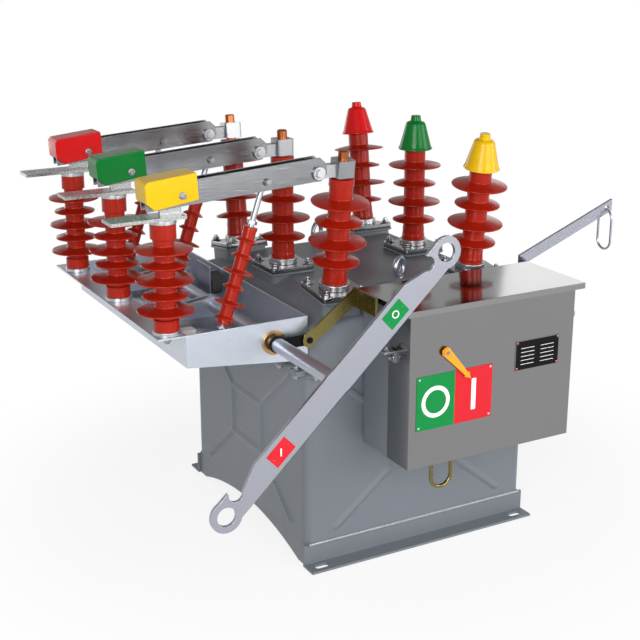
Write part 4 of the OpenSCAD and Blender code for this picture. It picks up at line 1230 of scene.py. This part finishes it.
@dataclass
class Isolator:
    """Tray, shaft, lever, blades and pull rods of the isolator."""

    rod_core: float = 12 * MM
    rod_large: float = 29 * MM
    rod_small: float = 20 * MM
    neck_low: float = 50 * MM
    neck_high: float = 84 * MM
    rod_first: float = 14 * MM
    rod_last: float = 24 * MM
    stop_r: float = 24 * MM
    hood_bolt: Point2 = (-269 * MM, 6 * MM)
    tag_along: float = 150 * MM
    tag_size: Point2 = (46 * MM, 31 * MM)
    tag_pin: float = 18 * MM
    lever_slope: float = 43.2

    def build(self) -> None:
        """Dress the fixed and the moving pieces."""
        dress_node("isolator_tray", GALVANISED, 1.2, 3)
        dress_node("shaft_collars", BRASS, 0.8)
        dress_node("isolator_shaft", ZINC, 0.5)
        dress_node("interlock_crank", BLACK_ENAMEL, 0.6)
        dress_node("interlock_link", YELLOW_ZINC, 0.6)
        self.stops()
        self.lever()
        for phase in Phase:
            self.blade(phase)
            self.rod(phase)

    def stops(self) -> None:
        """Stop bracket with its rubber buffer, and the block on the tray's wall."""
        low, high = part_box("stop_brackets")
        shaft = joint_place("isolator_shaft_turn")
        width, plate, length, rise = 66 * MM, 4 * MM, 26 * MM, 16 * MM
        block_x, block_y, block_z = 50 * MM, 24 * MM, 22 * MM
        left = high.x - length - plate
        tray_floor = low.z + 0.5 * MM
        sheet = prism(rounded_outline(width, high.z - tray_floor, 3 * MM), plate, 0.8 * MM)
        middle = (left, high.y - width / 2, (high.z + tray_floor) / 2)
        make_piece("stop_plate", sheet, ZINC, ROOT, facing(middle, RIGHT_SIDE), ["stop_brackets"])
        edge = 4 * MM
        pad = [(0, 0), (self.stop_r, 0)] + arc((self.stop_r - edge, length - edge), edge, 0, 90, 5)
        seat = facing((left + plate, high.y - width + rise, shaft.z + rise), RIGHT_SIDE)
        make_piece("stop_buffer", turned(pad + [(0, length)]), BLACK_RUBBER, ROOT, seat)
        block = prism(rounded_outline(block_x, block_y, 3 * MM), block_z, 1.5 * MM)
        make_piece("stop_block", block, NYLON, ROOT,
                   Matrix.Translation((low.x + block_x / 2, low.y + block_y / 2, shaft.z)))

    def lever(self) -> None:
        """Hook-stick lever with a green and a red tag."""
        # The lever gives up the tags' relief, so that they stay inside the solid's box
        thick, relief = 8 * MM, 0.9 * MM
        sheet, mark_t = 0.5 * MM, 0.1 * MM
        dress_node("isolator_lever", ZINC, 0.8, thin=1 - relief / thick)
        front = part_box("isolator_lever")[0].y + relief
        shaft = joint_place("isolator_shaft_turn")
        hub = facing((shaft.x, front, shaft.z), FRONT_SIDE)
        for side, finish, slot, mark in (
                (1, SIGN_GREEN, "green_plastic", ring_mark(7 * MM, 2 * MM, mark_t)),
                (-1, SIGN_RED, "red_plastic", bar_mark(14 * MM, 2.4 * MM, mark_t))):
            place = hub @ Matrix.Rotation(math.radians(self.lever_slope), 4, "Z")
            place = place @ Matrix.Translation((side * self.tag_along, 0, 0))
            tag = "open_tag" if side > 0 else "closed_tag"
            make_piece(tag, prism(rounded_outline(*self.tag_size, 1 * MM), sheet), finish, "shaft", place)
            lift = raised(sheet)
            upright = Matrix.Rotation(math.radians(-self.lever_slope), 4, "Z")
            make_piece(tag + "_mark", mark, SIGN_WHITE, "shaft", place @ lift @ upright)
            pins = [(dome(0.65 * MM), place @ lift @ Matrix.Translation((end * self.tag_pin, 0, 0)))
                    for end in (-1, 1)]
            make_piece(tag + "_rivets", merged(pins), ZINC, "shaft")

    def blade(self, phase: Phase) -> None:
        """Dress one blade with its hood and set their bolts.

        Args:
            phase: the phase.
        """
        body = f"blade_{phase.tag}"
        dress_node(body, TINNED, 0.7)
        hood = f"blade_cover_{phase.tag}"
        dress_node(hood, PHASE_FINISH[phase], 2.0, 3)
        pivot = joint_place(f"blade_{phase.tag}_turn")
        pin = joint_place(f"rod_{phase.tag}_turn")
        slope = math.atan2(pivot.z - pin.z, pivot.x - pin.x)
        place = Matrix.Translation(pivot) @ Matrix.Rotation(-slope, 4, "Y")
        blade_half = (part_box(body)[1].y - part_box(body)[0].y) / 2
        hood_half = (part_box(hood)[1].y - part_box(hood)[0].y) / 2
        pivot_bolts = Bolts(body + "_bolts", body, across_mm=14, washer=1.5, thread_mm=0.0,
                            finish=BRIGHT_ALUMINIUM)
        hood_screws = Bolts(hood + "_screws", body, across_mm=10, head_mm=4.5, washer=1.2, thread_mm=2.0)
        rod_pins = Bolts(body + "_pins", body, across_mm=9, head_mm=3.0, thread_mm=0.0)
        rod_place = place @ Matrix.Translation((-(pivot - pin).length, 0, 0))
        for side in (FRONT_SIDE, BACK_SIDE):
            pivot_bolts.places.append(place @ facing(side * blade_half, side, 20))
            rod_pins.places.append(rod_place @ facing(side * blade_half, side, 40))
            at = Vector((self.hood_bolt[0], side.y * hood_half, self.hood_bolt[1]))
            hood_screws.places.append(place @ facing(at, side, 5))
        for row in (pivot_bolts, rod_pins, hood_screws):
            row.build()

    def rod(self, phase: Phase) -> None:
        """Make one pull rod: its rubber body, its metal ends and their lock nuts.

        Args:
            phase: the phase.
        """
        node = f"pull_rod_{phase.tag}"
        top = joint_place(f"rod_{phase.tag}_turn")
        shaft = joint_place("isolator_shaft_turn")
        pivot = joint_place(f"blade_{phase.tag}_turn")
        foot = Vector((shaft.x, pivot.y, shaft.z)) + (top - pivot)
        span = (top - foot).length
        place = facing(foot, (top - foot).normalized())
        height = span - self.neck_low - self.neck_high
        step = (height - self.rod_first - self.rod_last) / 5
        sheds = [(self.rod_first + i * step, self.rod_large if i in (1, 3) else self.rod_small)
                 for i in range(6)]
        made = Insulator(self.rod_core, height, foot=6 * MM, head=6 * MM, sheds=sheds, droop=4 * MM,
                         crown=2 * MM, rim=1.2 * MM, swell=1 * MM, root=2 * MM)
        body = f"rod_{phase.tag}"
        made.build(node + ".rubber", body, place @ raised(self.neck_low), [node])
        ends = []
        bore, rim, half, edge = 6.05 * MM, 11 * MM, 6 * MM, 0.8 * MM
        neck_r, neck_from = 5.2 * MM, 9.5 * MM
        nut_r, nut_t, nut_back = 9.5 * MM, 6 * MM, 8 * MM
        for level, length in ((0.0, self.neck_low), (span, -self.neck_high)):
            eye = turned([(bore, -half), (rim - edge, -half), (rim, edge - half), (rim, half - edge),
                          (rim - edge, half), (bore, half), (bore, -half)], 40)
            ends.append((eye, raised(level) @ Matrix.Rotation(math.pi / 2, 4, "X")))
            way = 1 if length > 0 else -1
            start = way * neck_from
            neck = turned([(0, start), (neck_r, start), (neck_r, length), (0, length)], 28)
            ends.append((neck, raised(level)))
            nut = prism(arc((0, 0), nut_r, 0, 300, 5), nut_t, 0.5 * MM)
            ends.append((nut, raised(level + length - way * nut_back - nut_t / 2)))
        make_piece(node + ".ends", merged(ends), ZINC, body, place)


@dataclass
class Handles:
    """Charging handle with its ring, and the trip ring."""

    def build(self) -> None:
        """Dress the handle and the rings."""
        dress_node("charging_handle", ZINC, 0.8)
        dress_node("handle_ring", ZINC, 0)
        dress_node("trip_ring", YELLOW_ZINC, 0)


@dataclass
class Studio:
    """Camera, lights, floor and the white surround.

    surround is the strength of the white world as a light, mirrored its strength in what metal
    mirrors, and zenith the share of it that is left overhead. paper is the floor's share of glow
    under the object, which grows to 1 over the distances in fade, and floor_mirrored the strength
    of the floor in what metal mirrors.
    """

    eye: tuple[float, float, float] = (-1.3169, -2.2236, 1.2256)
    look: tuple[float, float, float] = (0.4612, 0.8332, -0.3050)
    lens: float = 71.31
    aim: tuple[float, float, float] = (0.0, 0.0, 0.45)
    surround: float = 0.4
    mirrored: float = 0.6
    floor_mirrored: float = 0.84
    zenith: float = 0.25
    paper: float = 0.84
    fade: tuple[float, float] = (0.45, 1.05)
    floor_half: float = 30.0
    floor_drop: float = 0.5 * MM

    def build(self) -> None:
        """Set up the camera, the lights, the floor and the surround."""
        scene = bpy.context.scene
        scene.view_settings.view_transform = "Standard"
        camera = bpy.data.cameras.new("camera")
        camera.lens = self.lens
        camera.sensor_width = 36.0
        scene.camera = set_up("camera", camera)
        scene.camera.location = self.eye
        scene.camera.rotation_euler = Vector(self.look).to_track_quat("-Z", "Y").to_euler()
        self.lamp("key", (-2.1, -2.5, 1.7), 1.6, 68)
        self.lamp("front", (0.6, -3.4, 1.2), 1.6, 48)
        self.lamp("fill", (2.8, -2.1, 1.5), 1.8, 42)
        self.lamp("back", (4.0, 3.1, 1.85), 2.0, 14)
        self.lamp("rear", (-0.8, 3.8, 0.9), 1.8, 24)
        self.floor()
        self.world(scene)

    def lamp(self, name: str, place: tuple[float, float, float], size: float, watts: float) -> None:
        """A square softbox that faces the object.

        Args:
            name: the lamp's name.
            place: where it hangs.
            size: side of the square.
            watts: its power.
        """
        light = bpy.data.lights.new(name, "AREA")
        light.size = size
        light.energy = watts
        lamp = set_up(name, light)
        lamp.location = place
        lamp.rotation_euler = (Vector(self.aim) - Vector(place)).to_track_quat("-Z", "Y").to_euler()

    def floor(self) -> None:
        """Plain pale floor that takes the object's shadow and fades to white farther out."""
        bm = bmesh.new()
        bmesh.ops.create_grid(bm, x_segments=1, y_segments=1, size=self.floor_half)
        bmesh.ops.translate(bm, vec=(0, 0, -self.floor_drop), verts=bm.verts)
        mesh = bpy.data.meshes.new("floor")
        bm.to_mesh(mesh)
        bm.free()
        # Matt white paper that takes the shadow, and glows in part for the camera and for mirroring metal
        paper = bpy.data.materials.new("floor_paper")
        tree = cleared(paper)
        matt = add_node(tree, "ShaderNodeBsdfDiffuse", {"Color": linear(Colour.FLOOR.value)})
        glow = add_node(tree, "ShaderNodeEmission", {"Color": (1, 1, 1, 1), "Strength": 1.0})
        place = add_node(tree, "ShaderNodeTexCoord", {}).outputs["Object"]
        away = add_node(tree, "ShaderNodeVectorMath", {0: place}, operation="LENGTH").outputs["Value"]
        far = add_node(tree, "ShaderNodeMapRange", {
            "Value": away, "From Min": self.fade[0], "From Max": self.fade[1], "To Min": self.paper},
                       interpolation_type="SMOOTHSTEP")
        path = add_node(tree, "ShaderNodeLightPath", {})
        share = add_node(tree, "ShaderNodeMath", {
            0: far.outputs["Result"], 1: path.outputs["Is Camera Ray"], 2: path.outputs["Is Glossy Ray"]},
                         operation="MULTIPLY_ADD")
        level = add_node(tree, "ShaderNodeMapRange", {
            "Value": path.outputs["Is Camera Ray"], "To Min": self.floor_mirrored, "To Max": 1.0})
        tree.links.new(level.outputs["Result"], glow.inputs["Strength"])
        mix = add_node(tree, "ShaderNodeMixShader", {
            0: share.outputs["Value"], 1: matt.outputs["BSDF"], 2: glow.outputs["Emission"]})
        add_node(tree, "ShaderNodeOutputMaterial", {"Surface": mix.outputs["Shader"]})
        mesh.materials.append(paper)
        set_up("floor", mesh)

    def world(self, scene: bpy.types.Scene) -> None:
        """White surround for what the camera and the metal see, dimmer as a light.

        Args:
            scene: the scene that takes it.
        """
        world = bpy.data.worlds.new("surround")
        tree = cleared(world)
        path = add_node(tree, "ShaderNodeLightPath", {})
        look = add_node(tree, "ShaderNodeTexCoord", {}).outputs["Generated"]
        rise = add_node(tree, "ShaderNodeSeparateXYZ", {"Vector": look}).outputs["Z"]
        sky = add_node(tree, "ShaderNodeMapRange", {
            "Value": rise, "From Min": 0.1, "From Max": 0.9, "To Min": 1.0, "To Max": self.zenith})
        share = add_node(tree, "ShaderNodeMapRange", {
            "Value": path.outputs["Is Glossy Ray"], "To Min": self.surround, "To Max": self.mirrored})
        lit = add_node(tree, "ShaderNodeMath", {
            0: sky.outputs["Result"], 1: share.outputs["Result"]}, operation="MULTIPLY")
        strength = add_node(tree, "ShaderNodeMapRange", {
            "Value": path.outputs["Is Camera Ray"], "To Min": lit.outputs["Value"], "To Max": 1.0})
        back = add_node(tree, "ShaderNodeBackground", {
            "Color": (1, 1, 1, 1), "Strength": strength.outputs["Result"]})
        add_node(tree, "ShaderNodeOutputWorld", {"Surface": back.outputs["Background"]})
        scene.world = world


def main() -> None:
    """Build the studio and every sub-assembly in order."""
    logging.basicConfig(level=logging.INFO, format="%(name)s %(message)s")
    Studio().build()
    Base().build()
    Tank().build()
    housing = CoverHousing()
    housing.build()
    Bushings(housing).build()
    MechanismBox().build()
    Posts().build()
    Isolator().build()
    Handles().build()


if __name__ == "__main__":
    main()
